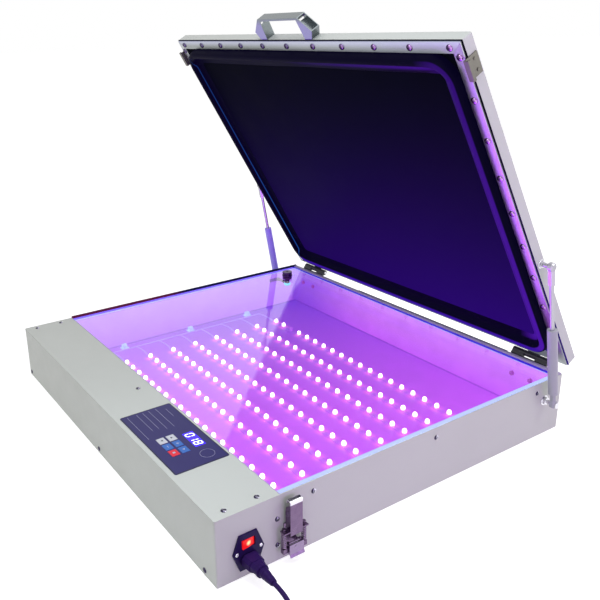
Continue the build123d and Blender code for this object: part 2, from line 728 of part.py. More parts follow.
def coil_state(turn):
    """The lead's centre in the coil after a number of turns: in, up a layer, and out again."""
    reversal = COIL_TURNS_PER_LAYER + 0.25
    radius = COIL_OUTER_RADIUS - COIL_PITCH * (reversal - abs(turn - reversal))
    climbed = min(max((turn - COIL_TURNS_PER_LAYER) / 0.5, 0.0), 1.0)
    height = COIL_LAYER * climbed * climbed * (3 - 2 * climbed)
    angle = math.pi / 2 - 2 * math.pi * turn
    centre_x = COIL_ENTRY_X + 2 * CORD_RADIUS
    centre_y = INLET_Y - COIL_OUTER_RADIUS
    return Vector(
        centre_x + radius * math.cos(angle),
        centre_y + radius * math.sin(angle),
        CORD_RADIUS + height,
    )


def coil_turns():
    """How many turns the coil has: both layers and the half turn between them."""
    return 2 * COIL_TURNS_PER_LAYER + 0.5


def biarc(start, start_dir, end, end_dir):
    """Two arcs that leave start and reach end in the given directions."""
    chord = end - start
    total = start_dir + end_dir
    lean = 2 * (1 - start_dir.dot(end_dir))
    if lean < 1e-9:
        return [Line(start, end)]
    reach = chord.dot(total)
    step = (-reach + math.sqrt(reach * reach + lean * chord.dot(chord))) / lean
    joint = (start + start_dir * step + end - end_dir * step) * 0.5
    middle = TangentArc(end, joint, tangent=end_dir * -1) @ 0.5
    return [TangentArc(start, joint, tangent=start_dir), ThreePointArc(joint, middle, end)]


def winding(state, turns, step, run, first_dir=None, last_dir=None):
    """A wire of arcs through a winding's points, a part of a turn apart, with straight ends."""
    count = round(turns / step)
    small = 1e-4
    marks = [index * step for index in range(count + 1)]
    points = [state(mark) for mark in marks]
    directions = [(state(mark + small) - state(mark - small)).normalized() for mark in marks]
    if first_dir is not None:
        directions[0] = first_dir
    if last_dir is not None:
        directions[-1] = last_dir
    edges = [Line(points[0] - directions[0] * run, points[0])]
    for index in range(count):
        edges += biarc(points[index], directions[index], points[index + 1], directions[index + 1])
    return edges + [Line(points[-1], points[-1] + directions[-1] * run)]


def least_gap(edges, diameter, skip):
    """The least distance between a winding's surface and itself, measured on points."""
    points = [edge @ (part / 6) for edge in edges for part in range(6)]
    least = min(
        (points[i] - points[j]).length
        for i in range(len(points))
        for j in range(i + skip, len(points))
    )
    return least - diameter


def cord_coil():
    """The put-away length, wound in two layers."""
    start_dir = Vector(1, 0, 0)
    end_dir = Vector(-1, 0, 0)
    edges = winding(coil_state, coil_turns(), 0.25, 2 * CORD_RADIUS, start_dir, end_dir)
    print("coil length", round(sum(edge.length for edge in edges), 1))
    print("coil least gap", round(least_gap(edges, 2 * CORD_RADIUS, 30), 2))
    return sweep(cord_section(edges[0] @ 0, start_dir), path=Wire(edges))


def cord_end():
    """Where the coil's straight end meets the tail."""
    return coil_state(coil_turns()) - Vector(2 * CORD_RADIUS, 0, 0)


def cord_tail():
    """The straight end of the lead between the coil and the plug."""
    end = cord_end()
    section = cord_section(end, Vector(-1, 0, 0))
    return extrude(section, amount=TAIL_LENGTH, dir=(-1, 0, 0))


def mains_plug():
    """A moulded plug lying beside the coil: relief, grip, face and three pins."""
    end = cord_end()
    x = end.X - TAIL_LENGTH
    centre = Plane(origin=(x, end.Y, end.Z), z_dir=(-1, 0, 0), x_dir=(0, 1, 0))
    neck = cut_rectangle(centre.offset(18), 17, 15, 4)
    face = cut_rectangle(centre.offset(38), 28, 22, 5)
    body = flat_sided(neck, face) + flat_sided(face, cut_rectangle(centre.offset(46), 28, 22, 5))
    body += flat_taper(centre, [(0, 6, 5, 5.8), (6, 12, 5.4, 6.4), (12, 18, 6, 7.2)], 12)
    blade_x = (x - 46 - 17, x - 46)
    for side in (-1, 1):
        y = end.Y + side * 6.35
        body += block(blade_x, (y - 0.8, y + 0.8), (end.Z + 1, end.Z + 7.3))
    return body + bar_x(2.4, (x - 46 - 20, x - 46), end.Y, end.Z - 5.5)


# ---- hinges -------------------------------------------------------------------------------

def knuckle_limits(index):
    """One knuckle's ends along X, on the right hinge."""
    length = (HINGE_X[1] - HINGE_X[0]) / KNUCKLES
    start = HINGE_X[0] + index * length
    return (start + KNUCKLE_GAP / 2, start + length - KNUCKLE_GAP / 2)


def knuckles(indices):
    """Rolled barrels for a leaf, bored for the pin."""
    barrel = Part()
    for index in indices:
        barrel += bar_x(KNUCKLE_RADIUS, knuckle_limits(index), HINGE_Y, HINGE_Z)
    return barrel


def pin_bore():
    return bar_x(HINGE_PIN_RADIUS + PIN_CLEARANCE, (HINGE_X[0] - 5, HINGE_X[1] + 5), HINGE_Y, HINGE_Z)


def hinge_base_leaf():
    """The leaf on the back wall, cranked up to its knuckles."""
    leaf_z = (HINGE_BOLT_Z - 15, HINGE_Z - 5)
    leaf = block(HINGE_X, (BACK_Y, BACK_Y + LEAF), leaf_z)
    indices = range(0, KNUCKLES, 2)
    web = [
        (BACK_Y, HINGE_Z - 8),
        (BACK_Y + LEAF, HINGE_Z - 8),
        (HINGE_Y, HINGE_Z - KNUCKLE_RADIUS),
        (HINGE_Y, HINGE_Z - 2),
        (HINGE_Y - KNUCKLE_RADIUS, HINGE_Z + 1),
        (BACK_Y, HINGE_Z - 4),
    ]
    for index in indices:
        leaf += prism_x(web, knuckle_limits(index))
    leaf += knuckles(indices)
    for x in HINGE_BOLT_X:
        leaf -= bar_y(2.7, x, (BACK_Y - 1, BACK_Y + LEAF + 1), HINGE_BOLT_Z)
    return leaf - pin_bore()


def hinge_lid_leaf():
    """The leaf on the lid's back wall, drawn with the lid shut."""
    leaf = block(HINGE_X, (LID_BACK_Y, LID_BACK_Y + LEAF), (RUBBER_Z - 2, PAN_TOP_Z - 3))
    indices = range(1, KNUCKLES, 2)
    web = [
        (LID_BACK_Y + 0.3, RUBBER_Z - 1),
        (LID_BACK_Y + 0.3, HINGE_Z + 2),
        (HINGE_Y + KNUCKLE_RADIUS, HINGE_Z),
        (LID_BACK_Y + LEAF + 2, RUBBER_Z - 4),
        (LID_BACK_Y + LEAF, RUBBER_Z - 1),
    ]
    for index in indices:
        leaf += prism_x(web, knuckle_limits(index))
    return leaf + knuckles(indices) - pin_bore()


def hinge_pin():
    return bar_x(HINGE_PIN_RADIUS, (HINGE_X[0] - 1.5, HINGE_X[1] + 1.5), HINGE_Y, HINGE_Z)


def hinge_bolts():
    """Through bolts from the hinge leaves to nuts inside the lamp chamber."""
    bolts = []
    for x in hinge_bolt_places():
        outer = BACK_Y + LEAF
        head = Plane(origin=(x, outer, HINGE_BOLT_Z), z_dir=(0, 1, 0))
        nut = Plane(origin=(x, CHAMBER_BACK_Y, HINGE_BOLT_Z), z_dir=(0, -1, 0))
        bolt = extrude(head * RegularPolygon(5.5, 6), 3) + extrude(nut * RegularPolygon(5, 6), 3.5)
        shank = Plane(origin=(x, CHAMBER_BACK_Y - 5, HINGE_BOLT_Z), z_dir=(0, 1, 0))
        bolts.append(bolt + extrude(shank * RegularPolygon(2.5, 8), outer - CHAMBER_BACK_Y + 5))
    return group(bolts)


# ---- lid ----------------------------------------------------------------------------------

def open_lid(shape):
    """Swing a piece of the shut lid to where it stands open."""
    return shape.rotate(HINGE_AXIS, -LID_OPEN)


def lid_pan():
    """The folded steel lid: a face, four walls and a turned-in flange for the blanket."""
    x = LID_X
    y = (LID_FRONT_Y, LID_BACK_Y)
    pan = block((-x, x), y, (RUBBER_Z, PAN_TOP_Z))
    pan = fillet(pan.edges().filter_by(Axis.Z), EDGE_RADIUS)
    inner_x = x - SHEET
    inner_y = (y[0] + SHEET, y[1] - SHEET)
    pan -= block((-inner_x, inner_x), inner_y, (RUBBER_Z + SHEET, PAN_TOP_Z - SHEET))
    mouth_x = x - PAN_FLANGE
    mouth_y = (y[0] + PAN_FLANGE, y[1] - PAN_FLANGE)
    return pan - block((-mouth_x, mouth_x), mouth_y, (RUBBER_Z - 1, RUBBER_Z + SHEET + 1))


def rubber_blanket():
    """The black rubber sheet under the lid."""
    x = LID_X
    z = (RUBBER_Z - RUBBER_THICKNESS, RUBBER_Z)
    return block((-x, x), (LID_FRONT_Y, LID_BACK_Y), z)


def seal_ring():
    """The raised rubber bead that meets the glass: steep outside, long and low inside."""
    width = LID_WIDTH - 2 * RING_INSET
    length = LID_LENGTH - 2 * RING_INSET
    root = RUBBER_Z - RUBBER_THICKNESS
    middle = Pos(0, (LID_FRONT_Y + LID_BACK_Y) / 2, root)
    path = middle * RectangleRounded(width, length, RING_CORNER).face().outer_wire()
    start = path @ 0
    inward = Vector(0, 0, 1).cross(path % 0)
    if inward.dot(Vector(0, (LID_FRONT_Y + LID_BACK_Y) / 2, root) - start) < 0:
        inward = inward * -1
    corners = [start + inward * reach - Vector(0, 0, drop) for reach, drop in RING_PROFILE]
    return sweep(make_face(Polyline(*corners, close=True)), path=path)


def clamp_strip(side):
    """One mitred clamping strip, named by the side of the lid that it runs along."""
    z = (RUBBER_Z - RUBBER_THICKNESS - STRIP_THICKNESS, RUBBER_Z - RUBBER_THICKNESS)
    gap = 0.15
    x = LID_X - STRIP_INSET
    front = LID_FRONT_Y + STRIP_INSET
    back = LID_BACK_Y - STRIP_INSET
    near = {"front": front, "back": back, "right": x, "left": -x}[side]
    inward = {"front": 1, "back": -1, "right": -1, "left": 1}[side]
    far = near + inward * STRIP_WIDTH
    if side in ("front", "back"):
        long_half = x - gap
        short_half = x - STRIP_WIDTH - gap
        corners = [(-long_half, near), (long_half, near), (short_half, far), (-short_half, far)]
    else:
        y = (front + gap, back - gap)
        cut = STRIP_WIDTH
        corners = [(near, y[0]), (near, y[1]), (far, y[1] - cut), (far, y[0] + cut)]
    face = make_face(Polyline([(px, py, z[0]) for px, py in corners], close=True))
    return extrude(face, amount=z[1] - z[0], dir=(0, 0, 1))


def clamp_screws():
    """The heads of the screws along the clamping strips."""
    seat = RUBBER_Z - RUBBER_THICKNESS - STRIP_THICKNESS
    head = Rot(180, 0, 0) * screw_head(CLAMP_SCREW_RADIUS, CLAMP_SCREW_HEIGHT)
    first = -(FRONT_SCREWS - 1) / 2 * FRONT_SCREW_PITCH
    places = []
    for index in range(FRONT_SCREWS):
        for y in (LID_FRONT_Y + CLAMP_SCREW_INSET, LID_BACK_Y - CLAMP_SCREW_INSET):
            places.append((first + index * FRONT_SCREW_PITCH, y))
    side_x = LID_X - CLAMP_SCREW_INSET
    for index in range(1, SIDE_SCREWS):
        for x in (-side_x, side_x):
            places.append((x, LID_BACK_Y - FIRST_SIDE_SCREW - index * SIDE_SCREW_PITCH))
    return group([Pos(x, y, seat) * head for x, y in places])


def handle():
    """A bail of rectangular section with sloping shoulders, hollow where the slopes are cut."""
    z = (RUBBER_Z, RUBBER_Z + HANDLE_DEPTH)
    foot = HANDLE_HALF_GAP + HANDLE_FOOT
    shoulder = foot + 9
    shoulder_rise = 16.0
    slope_top = shoulder - (HANDLE_RISE - shoulder_rise)
    right = [
        (HANDLE_HALF_GAP, 0),
        (foot, 0),
        (shoulder, shoulder_rise),
        (slope_top, HANDLE_RISE),
    ]
    left = [(-x, rise) for x, rise in reversed(right)]
    under_bar = HANDLE_RISE - HANDLE_BAR
    inner = [(-HANDLE_HALF_GAP, 0), (-HANDLE_HALF_GAP + 3, under_bar), (HANDLE_HALF_GAP - 3, under_bar)]
    points = right + left + inner[1:]
    face = make_face(Polyline([(x, LID_FRONT_Y - rise, z[0]) for x, rise in points], close=True))
    bail = extrude(face, amount=HANDLE_DEPTH, dir=(0, 0, 1))
    middle_x = (shoulder + slope_top) / 2
    middle_y = LID_FRONT_Y - (shoulder_rise + HANDLE_RISE) / 2
    middle_z = (z[0] + z[1]) / 2
    pocket_plane = Plane(origin=(middle_x, middle_y, middle_z), z_dir=(-1, 1, 0), x_dir=(0, 0, 1))
    slope = math.dist((shoulder, shoulder_rise), (slope_top, HANDLE_RISE))
    pocket = extrude(pocket_plane * Rectangle(HANDLE_DEPTH - 3, slope - 4), 11, both=True)
    return bail - pocket - other_side(pocket)


def lid_keeper():
    """The right keeper: a plate on the lid's side with a hooked lip below it."""
    y = (KEEPER_FRONT - 17, KEEPER_FRONT + 17)
    x = LID_X
    plate = block((x, x + 2), y, (RUBBER_Z - 12, PAN_TOP_Z - 3))
    plate += block((x, x + 9), y, (RUBBER_Z - 12, RUBBER_Z - 10))
    plate += block((x + 7, x + 9), y, (RUBBER_Z - 12, RUBBER_Z - 6.5))
    for offset in (-9, 9):
        plate += bar_x(2.6, (x + 2, x + 3.2), KEEPER_FRONT + offset, RUBBER_Z + 9)
    return plate


# ---- struts -------------------------------------------------------------------------------

def strut_plane():
    """The right strut's own plane: origin at its foot, Z along it, X out of the case."""
    direction = Vector(0, STRUT_HEAD_Y - STRUT_FOOT_Y, STRUT_HEAD_Z - STRUT_FOOT_Z)
    origin = (STRUT_X, STRUT_FOOT_Y, STRUT_FOOT_Z)
    return Plane(origin=origin, x_dir=(1, 0, 0), z_dir=direction.normalized())


def strut_length():
    return math.dist((STRUT_FOOT_Y, STRUT_FOOT_Z), (STRUT_HEAD_Y, STRUT_HEAD_Z))


def strut_eye(distance):
    """An end eye, bored for its stud, at a distance along the strut."""
    half = EYE_HALF_WIDTH
    eye = Pos(0, 0, -half) * extrude(RegularPolygon(EYE_RADIUS, 12), 2 * half)
    rims = eye.faces().sort_by(Axis.Z)[0].edges() + eye.faces().sort_by(Axis.Z)[-1].edges()
    return Pos(0, 0, distance) * Rot(0, 90, 0) * chamfer(rims, 2.5)


def eye_bore(distance):
    bore = Cylinder(STUD_RADIUS + PIN_CLEARANCE, 2 * EYE_HALF_WIDTH + 2)
    return Pos(0, 0, distance) * Rot(0, 90, 0) * bore


def strut_cylinder():
    """The right strut's outer tube with its eye, neck and gland."""
    start, end = STRUT_TUBE
    tube = bar_z(STRUT_TUBE_RADIUS, 0, 0, (start, end))
    tube += Pos(0, 0, EYE_RADIUS - 3) * extrude(RegularPolygon(5.5, 6), start - EYE_RADIUS + 3)
    tube += strut_eye(0)
    tube -= bar_z(STRUT_TUBE_RADIUS - SHEET, 0, 0, (start + 6, end - 8))
    tube -= bar_z(STRUT_ROD_RADIUS + PIN_CLEARANCE, 0, 0, (start + 6, end + 1))
    return strut_plane() * (tube - eye_bore(0))


def strut_rod():
    """The right strut's rod, with its piston and the upper end fitting."""
    length = strut_length()
    rod = bar_z(STRUT_ROD_RADIUS, 0, 0, (STRUT_ROD_END, length - EYE_RADIUS + 1))
    rod += bar_z(STRUT_TUBE_RADIUS - SHEET - 0.3, 0, 0, (STRUT_ROD_END, STRUT_ROD_END + 9))
    rod += Pos(0, 0, length - 34) * extrude(RegularPolygon(6.4, 6), 36 - EYE_RADIUS)
    rod += strut_eye(length)
    stud_foot = LID_X + 6 + OPEN_LINK_GAP - STRUT_X
    rod += Pos(0, 0, length) * bar_x(STUD_RADIUS, (stud_foot, 0), 0, 0)
    return strut_plane() * rod


def strut_base_stud():
    """The stud on the case's right wall that carries the strut's lower eye."""
    y = STRUT_FOOT_Y
    z = STRUT_FOOT_Z
    stud = bar_x(10, (SIDE_X, SIDE_X + 1.5), y, z)
    hexagon = Plane(origin=(SIDE_X + 1.5, y, z), z_dir=(1, 0, 0)) * RegularPolygon(8, 6)
    stud += extrude(hexagon, 5)
    stud += bar_x(STUD_RADIUS, (SIDE_X + 6, STRUT_X + EYE_HALF_WIDTH + 2), y, z)
    return stud + bar_x(6, (STRUT_X + EYE_HALF_WIDTH + 0.3, STRUT_X + EYE_HALF_WIDTH + 2.5), y, z)


def strut_lid_foot():
    """The foot of the upper stud on the lid's right wall, drawn on the open lid."""
    y = STRUT_HEAD_Y
    z = STRUT_HEAD_Z
    foot = bar_x(8.5, (LID_X, LID_X + 1.5), y, z)
    hexagon = Plane(origin=(LID_X + 1.5, y, z), z_dir=(1, 0, 0)) * RegularPolygon(7, 6)
    return foot + extrude(hexagon, 4.5)


# ---- latches ------------------------------------------------------------------------------

def latch_plate():
    """The right latch's base plate, with two ears for the lever's pin."""
    z = (LATCH_PIVOT_Z - 17, LATCH_PIVOT_Z + 30)
    y = LATCH_Y
    plate = block((SIDE_X, SIDE_X + LATCH_SHEET), (y - EAR_HALF_WIDTH, y + EAR_HALF_WIDTH), z)
    ear = [
        (SIDE_X, LATCH_PIVOT_Z - 11),
        (LATCH_PIVOT_X + 1.5, LATCH_PIVOT_Z - 3.8),
        (LATCH_PIVOT_X + 3.8, LATCH_PIVOT_Z),
        (LATCH_PIVOT_X + 1.5, LATCH_PIVOT_Z + 3.6),
        (LATCH_PIVOT_X - 2.5, LATCH_PIVOT_Z + 3.2),
        (LATCH_PIVOT_X - 4.3, LATCH_PIVOT_Z),
        (SIDE_X, LATCH_PIVOT_Z - 1.5),
    ]
    for side in (-1, 1):
        outer = y + side * EAR_HALF_WIDTH
        inner = outer - side * LATCH_SHEET
        plate += prism_y(ear, (min(outer, inner), max(outer, inner)))
        face_x = SIDE_X + LATCH_SHEET
        rivet = Plane(origin=(face_x, y + side * 5.5, LATCH_PIVOT_Z + 22), z_dir=(1, 0, 0))
        plate += extrude(rivet * RegularPolygon(2.5, 8), 1)
    bore_y = (y - EAR_HALF_WIDTH - 1, y + EAR_HALF_WIDTH + 1)
    return plate - bar_y(2 + PIN_CLEARANCE, LATCH_PIVOT_X, bore_y, LATCH_PIVOT_Z)


def latch_lever():
    """The right latch's finger lever: a dished front between two cheeks, and its pins."""
    y = LATCH_Y
    front_x = LATCH_PIVOT_X + 5
    face_x = front_x + LATCH_SHEET
    foot_z = LATCH_PIVOT_Z - 15
    head_z = LATCH_PIVOT_Z + 2
    side_profile = [
        (LATCH_PIVOT_X - 4, LATCH_PIVOT_Z - 12),
        (front_x, foot_z),
        (face_x, foot_z),
        (face_x, head_z),
        (LATCH_PIVOT_X - 3, LATCH_PIVOT_Z + 3),
    ]
    inner = EAR_HALF_WIDTH + 0.5
    wide = (y - LEVER_HALF_WIDTH, y + LEVER_HALF_WIDTH)
    lever = block((front_x, face_x), wide, (foot_z, head_z))
    tab = [
        (front_x, foot_z + 1),
        (face_x, foot_z + 1),
        (face_x + 2.5, foot_z - 3.5),
        (face_x + 1.2, foot_z - 4.5),
    ]
    lever += prism_y(tab, wide)
    for side in (-1, 1):
        near = y + side * inner
        far = y + side * LEVER_HALF_WIDTH
        lever += prism_y(side_profile, (min(near, far), max(near, far)))
        pin_end = far + side * 2.6
        lever += bar_y(1.6, CLAW_PIN_X, (min(near, pin_end), max(near, pin_end)), CLAW_PIN_Z)
    pin_y = (wide[0] - 0.5, wide[1] + 0.5)
    lever += bar_y(2, LATCH_PIVOT_X, pin_y, LATCH_PIVOT_Z)
    dish_face = Plane(origin=(face_x, y, LATCH_PIVOT_Z - 6), z_dir=(-1, 0, 0))
    return lever - flat_taper(dish_face, [(0, 0.9, 6, 3)], 12)


def latch_claw():
    """The right latch's claw: a hooked channel, two spring seats and two rods to the lever."""
    y = LATCH_Y
    front_x = LATCH_PIVOT_X + 4.5
    back_x = front_x + LATCH_SHEET
    strap_y = (y - CLAW_HALF_WIDTH, y + CLAW_HALF_WIDTH)
    foot_z = LATCH_PIVOT_Z + 17
    shoulder = SPRING_Z[1] + 0.3
    strap = block((front_x, back_x), strap_y, (foot_z, CLAW_TOP - 5))
    hook = [
        (front_x, CLAW_TOP - 6),
        (back_x, CLAW_TOP - 6),
        (back_x + 0.8, CLAW_TOP - 4),
        (back_x, CLAW_TOP - 1.8),
        (back_x - 2, CLAW_TOP),
        (front_x - 6.5, CLAW_TOP),
        (front_x - 8, CLAW_TOP - 1.5),
        (front_x - 8, CLAW_TOP - 6),
        (front_x - 6.5, CLAW_TOP - 6),
        (front_x - 6.5, CLAW_TOP - LATCH_SHEET),
        (front_x - 1, CLAW_TOP - LATCH_SHEET),
        (front_x, CLAW_TOP - 3),
    ]
    strap += prism_y(hook, strap_y)
    for side in (-1, 1):
        edge = y + side * CLAW_HALF_WIDTH
        inner = edge - side * LATCH_SHEET
        cheek = [
            (front_x - 6, foot_z + 4),
            (front_x, foot_z),
            (back_x, foot_z),
            (back_x, CLAW_TOP - 6),
            (front_x - 9, CLAW_TOP - 14),
            (front_x - 11, CLAW_TOP - 24),
            (front_x - 11, foot_z + 16),
        ]
        strap += prism_y(cheek, (min(edge, inner), max(edge, inner)))
        rod_y = y + side * SPRING_Y
        seat_y = (min(inner, rod_y + side * 4), max(inner, rod_y + side * 4))
        strap += block((CLAW_PIN_X - 4, back_x), seat_y, (shoulder, shoulder + 2))
        collar = Pos(CLAW_PIN_X, rod_y, shoulder + 2) * RegularPolygon(3.2, 8)
        strap += extrude(collar, 4)
        rod = Pos(CLAW_PIN_X, rod_y, CLAW_PIN_Z - 5) * RegularPolygon(1.5, 8)
        strap += extrude(rod, shoulder - CLAW_PIN_Z + 5)
        block_near = y + side * (LEVER_HALF_WIDTH + 0.8)
        block_far = rod_y + side * 3.5
        eye_y = (min(block_near, block_far), max(block_near, block_far))
        eye_x = (CLAW_PIN_X - 3.5, CLAW_PIN_X + 3.5)
        strap += block(eye_x, eye_y, (CLAW_PIN_Z - 3.5, CLAW_PIN_Z + 4.5))
        bore_far = y + side * (LEVER_HALF_WIDTH + 2.9)
        bore_y = (min(block_near - side, bore_far), max(block_near - side, bore_far))
        strap -= bar_y(1.6 + PIN_CLEARANCE, CLAW_PIN_X, bore_y, CLAW_PIN_Z)
    return strap


def spring_state(turn):
    """A spring's wire centre after a number of turns, about the Z axis from z = 0."""
    rise = (SPRING_Z[1] - SPRING_Z[0] - SPRING_WIRE) / SPRING_TURNS
    angle = 2 * math.pi * turn
    return Vector(
        SPRING_RADIUS * math.cos(angle),
        SPRING_RADIUS * math.sin(angle),
        SPRING_WIRE / 2 + rise * turn,
    )


def latch_springs():
    """The two springs of the right latch, one round each rod."""
    edges = winding(spring_state, SPRING_TURNS, 0.25, SPRING_WIRE)
    print("spring least gap", round(least_gap(edges, SPRING_WIRE, 20), 2))
    start_dir = (spring_state(1e-4) - spring_state(-1e-4)).normalized()
    plane = Plane(origin=edges[0] @ 0, z_dir=start_dir, x_dir=(1, 0, 0))
    spring = sweep(plane * RegularPolygon(SPRING_WIRE / 2, SPRING_SIDES), path=Wire(edges))
    places = [LATCH_Y - SPRING_Y, LATCH_Y + SPRING_Y]
    return group([Pos(CLAW_PIN_X, y, SPRING_Z[0]) * spring for y in places])


# ---- all nodes ----------------------------------------------------------------------------

def base_nodes():
    return {
        "housing": housing(),
        "bottom_plate": bottom_plate(),
        "bulkhead": bulkhead(),
        "control_cover": control_cover(),
        "case_screws": case_screws(),
        "chamber_liner": chamber_liner(),
        "glass_gasket": glass_gasket(),
        "glass_plate": glass_plate(),
        "led_bars": led_bars(),
        "led_wiring": led_wiring(),
        "cable_clips": cable_clips(),
        "vacuum_port": vacuum_port(),
        "vacuum_port_nut": vacuum_port_nut(),
        "vacuum_hose": vacuum_hose(),
        "vacuum_pump": vacuum_pump(),
        "power_supply": power_supply(),
        "control_board": control_board(),
        "display_module": display_module(),
        "control_panel": control_panel(),
        "inlet_body": inlet_body(),
        "inlet_screws": inlet_screws(),
        "power_connector": power_connector(),
        "cord_lead": cord_lead(),
        "cord_coil": cord_coil(),
        "cord_tail": cord_tail(),
        "mains_plug": mains_plug(),
        "hinge_base_leaves": both_sides([hinge_base_leaf()]),
        "hinge_pins": both_sides([hinge_pin()]),
        "hinge_bolts": hinge_bolts(),
        "strut_base_studs": both_sides([strut_base_stud()]),
        "latch_plates": both_sides([latch_plate()]),
    }


def lid_nodes():
    shut = {
        "lid_pan": lid_pan(),
        "rubber_blanket": rubber_blanket(),
        "seal_ring": seal_ring(),
        "clamp_strip_front": clamp_strip("front"),
        "clamp_strip_back": clamp_strip("back"),
        "clamp_strip_left": clamp_strip("left"),
        "clamp_strip_right": clamp_strip("right"),
        "clamp_screws": clamp_screws(),
        "handle": handle(),
        "lid_keepers": both_sides([lid_keeper()]),
        "hinge_lid_leaves": both_sides([hinge_lid_leaf()]),
    }
    nodes = {name: open_lid(shape) for name, shape in shut.items()}
    nodes["strut_lid_feet"] = both_sides([strut_lid_foot()])
    return nodes


def moving_nodes():
    nodes = {"rocker_switch": rocker_switch()}
    for number, (x, y) in enumerate(key_places(), start=1):
        nodes[f"key_{number}"] = key(x, y)
    right = {
        "strut_cylinder": strut_cylinder(),
        "strut_rod": strut_rod(),
        "latch_lever": latch_lever(),
        "latch_claw": latch_claw(),
        "latch_springs": latch_springs(),
    }
    for name, shape in right.items():
        nodes[f"{name}_right"] = shape
        nodes[f"{name}_left"] = other_side(shape)
    return nodes


os.makedirs("parts", exist_ok=True)
for node, shape in {**base_nodes(), **lid_nodes(), **moving_nodes()}.items():
    export_step(shape, f"parts/{node}.step")
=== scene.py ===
import json
import math
from functools import cached_property

import bmesh
import bpy
from mathutils import Matrix, Vector, noise


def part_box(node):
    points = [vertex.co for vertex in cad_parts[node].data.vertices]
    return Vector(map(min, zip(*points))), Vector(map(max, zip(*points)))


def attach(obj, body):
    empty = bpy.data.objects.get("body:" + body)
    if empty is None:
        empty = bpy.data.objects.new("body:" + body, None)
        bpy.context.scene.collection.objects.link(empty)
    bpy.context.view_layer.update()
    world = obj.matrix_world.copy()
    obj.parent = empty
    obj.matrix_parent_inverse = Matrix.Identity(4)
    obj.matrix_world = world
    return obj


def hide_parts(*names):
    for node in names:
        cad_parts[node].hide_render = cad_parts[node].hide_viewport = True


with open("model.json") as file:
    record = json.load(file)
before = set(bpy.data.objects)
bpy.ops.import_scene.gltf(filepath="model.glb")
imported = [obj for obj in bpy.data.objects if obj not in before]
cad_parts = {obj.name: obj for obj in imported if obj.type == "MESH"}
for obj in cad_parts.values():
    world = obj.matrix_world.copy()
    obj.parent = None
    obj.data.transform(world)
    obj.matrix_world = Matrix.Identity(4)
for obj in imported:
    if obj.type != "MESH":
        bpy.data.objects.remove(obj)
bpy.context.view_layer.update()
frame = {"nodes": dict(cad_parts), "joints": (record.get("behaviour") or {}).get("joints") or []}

# A screen printing exposure unit with its vacuum lid open and its lamps lit. Metres, in the
# frame's own axes: +X right, +Y back, +Z up, origin at the centre of the base's underside.

MM = 0.001

# ---- places, from the frame ----
CASE_LOW, CASE_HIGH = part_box("housing")
PANEL_LOW, PANEL_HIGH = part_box("control_panel")
SIDE_X = CASE_HIGH.x
FRONT_Y = CASE_LOW.y
BACK_Y = CASE_HIGH.y
BASE_TOP = CASE_HIGH.z
COVER_BACK_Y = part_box("control_cover")[1].y
HINGE = next(joint for joint in frame["joints"] if joint["name"] == "lid_hinge")
HINGE_POINT = Vector(HINGE["pos_m"])
LID_OPEN = math.radians(HINGE["range_deg"][1])
LID_UP = (0.0, -math.cos(LID_OPEN), math.sin(LID_OPEN))
LID_OUT = (0.0, -math.sin(LID_OPEN), -math.cos(LID_OPEN))
OPENED = (
    Matrix.Translation(HINGE_POINT)
    @ Matrix.Rotation(-LID_OPEN, 4, "X")
    @ Matrix.Translation(-HINGE_POINT)
)

# ---- the lid, as it lies shut ----
LID_X = 423.25 * MM
LID_FRONT = 0.700
LID_BACK_Y = HINGE_POINT.y
LID_FRONT_Y = LID_BACK_Y - LID_FRONT
LID_MIDDLE_Y = (LID_FRONT_Y + LID_BACK_Y) / 2
LID_HALF_Y = (LID_BACK_Y - LID_FRONT_Y) / 2
RUBBER_Z = BASE_TOP + 19.3 * MM
BLANKET_THICKNESS = 1.5 * MM
BLANKET_WAVE = 1.2 * MM
STRIP_THICKNESS = 3.0 * MM
SCREW_INSET = 11.0 * MM
RING_INSET = 22.0 * MM
RING_CORNER = 45.0 * MM

# ---- lamps ----
LAMP_ROWS = 8
LAMPS_PER_ROW = 19
LAMP_PITCH = 32.95 * MM
ROW_PITCH = 60.6 * MM
FIRST_LAMP_X = -301.0 * MM
FIRST_ROW_Y = FRONT_Y + 190.0 * MM
STRIP_START_X = FIRST_LAMP_X - LAMP_PITCH / 2
CHAMBER_FLOOR_Z = 10.0 * MM
UNLIT_ROW = 7
UNLIT_LAMP = 2

# ---- panel and latches ----
PANEL_RING = (270.0 * MM, FRONT_Y + 79.5 * MM)
LATCH_LIP_Z = 101.0 * MM
LATCH_Y = -258 * MM
SPRING_X = SIDE_X + 11 * MM
SPRING_OFFSET = 18 * MM

# ---- mains lead ----
INLET_Y = FRONT_Y + 53.0 * MM
SOCKET_Z = 31.0 * MM
CORD_RADIUS = 3.5 * MM
CORD_EXIT = Vector((490.0 * MM, INLET_Y, SOCKET_Z))
COIL_ENTRY_X = 592.0 * MM
COIL_OUTER_RADIUS = 50.0 * MM
COIL_PITCH = 7.7 * MM
COIL_LAYER = 7.6 * MM
COIL_TURNS_PER_LAYER = 2.5
COIL_TURNS = 2 * COIL_TURNS_PER_LAYER + 0.5
COIL_POINTS_PER_TURN = 16
TAIL_LENGTH = 45.0 * MM


# ---- meshes ----

HERE = Matrix.Identity(4)


def at(x, y, z):
    """A shift to a place."""
    return Matrix.Translation((x, y, z))


def turned(degrees, axis):
    """A turn about an axis."""
    return Matrix.Rotation(math.radians(degrees), 4, axis)


def shares(steps):
    """From 0 to 1 in equal steps."""
    return [step / steps for step in range(steps + 1)]


def new_object(name, data):
    """An object in the scene."""
    made = bpy.data.objects.new(name, data)
    bpy.context.scene.collection.objects.link(made)
    return made


def to_mesh(build):
    """A mesh from a bmesh, which ends with it."""
    mesh = bpy.data.meshes.new("piece")
    build.to_mesh(mesh)
    build.free()
    return mesh


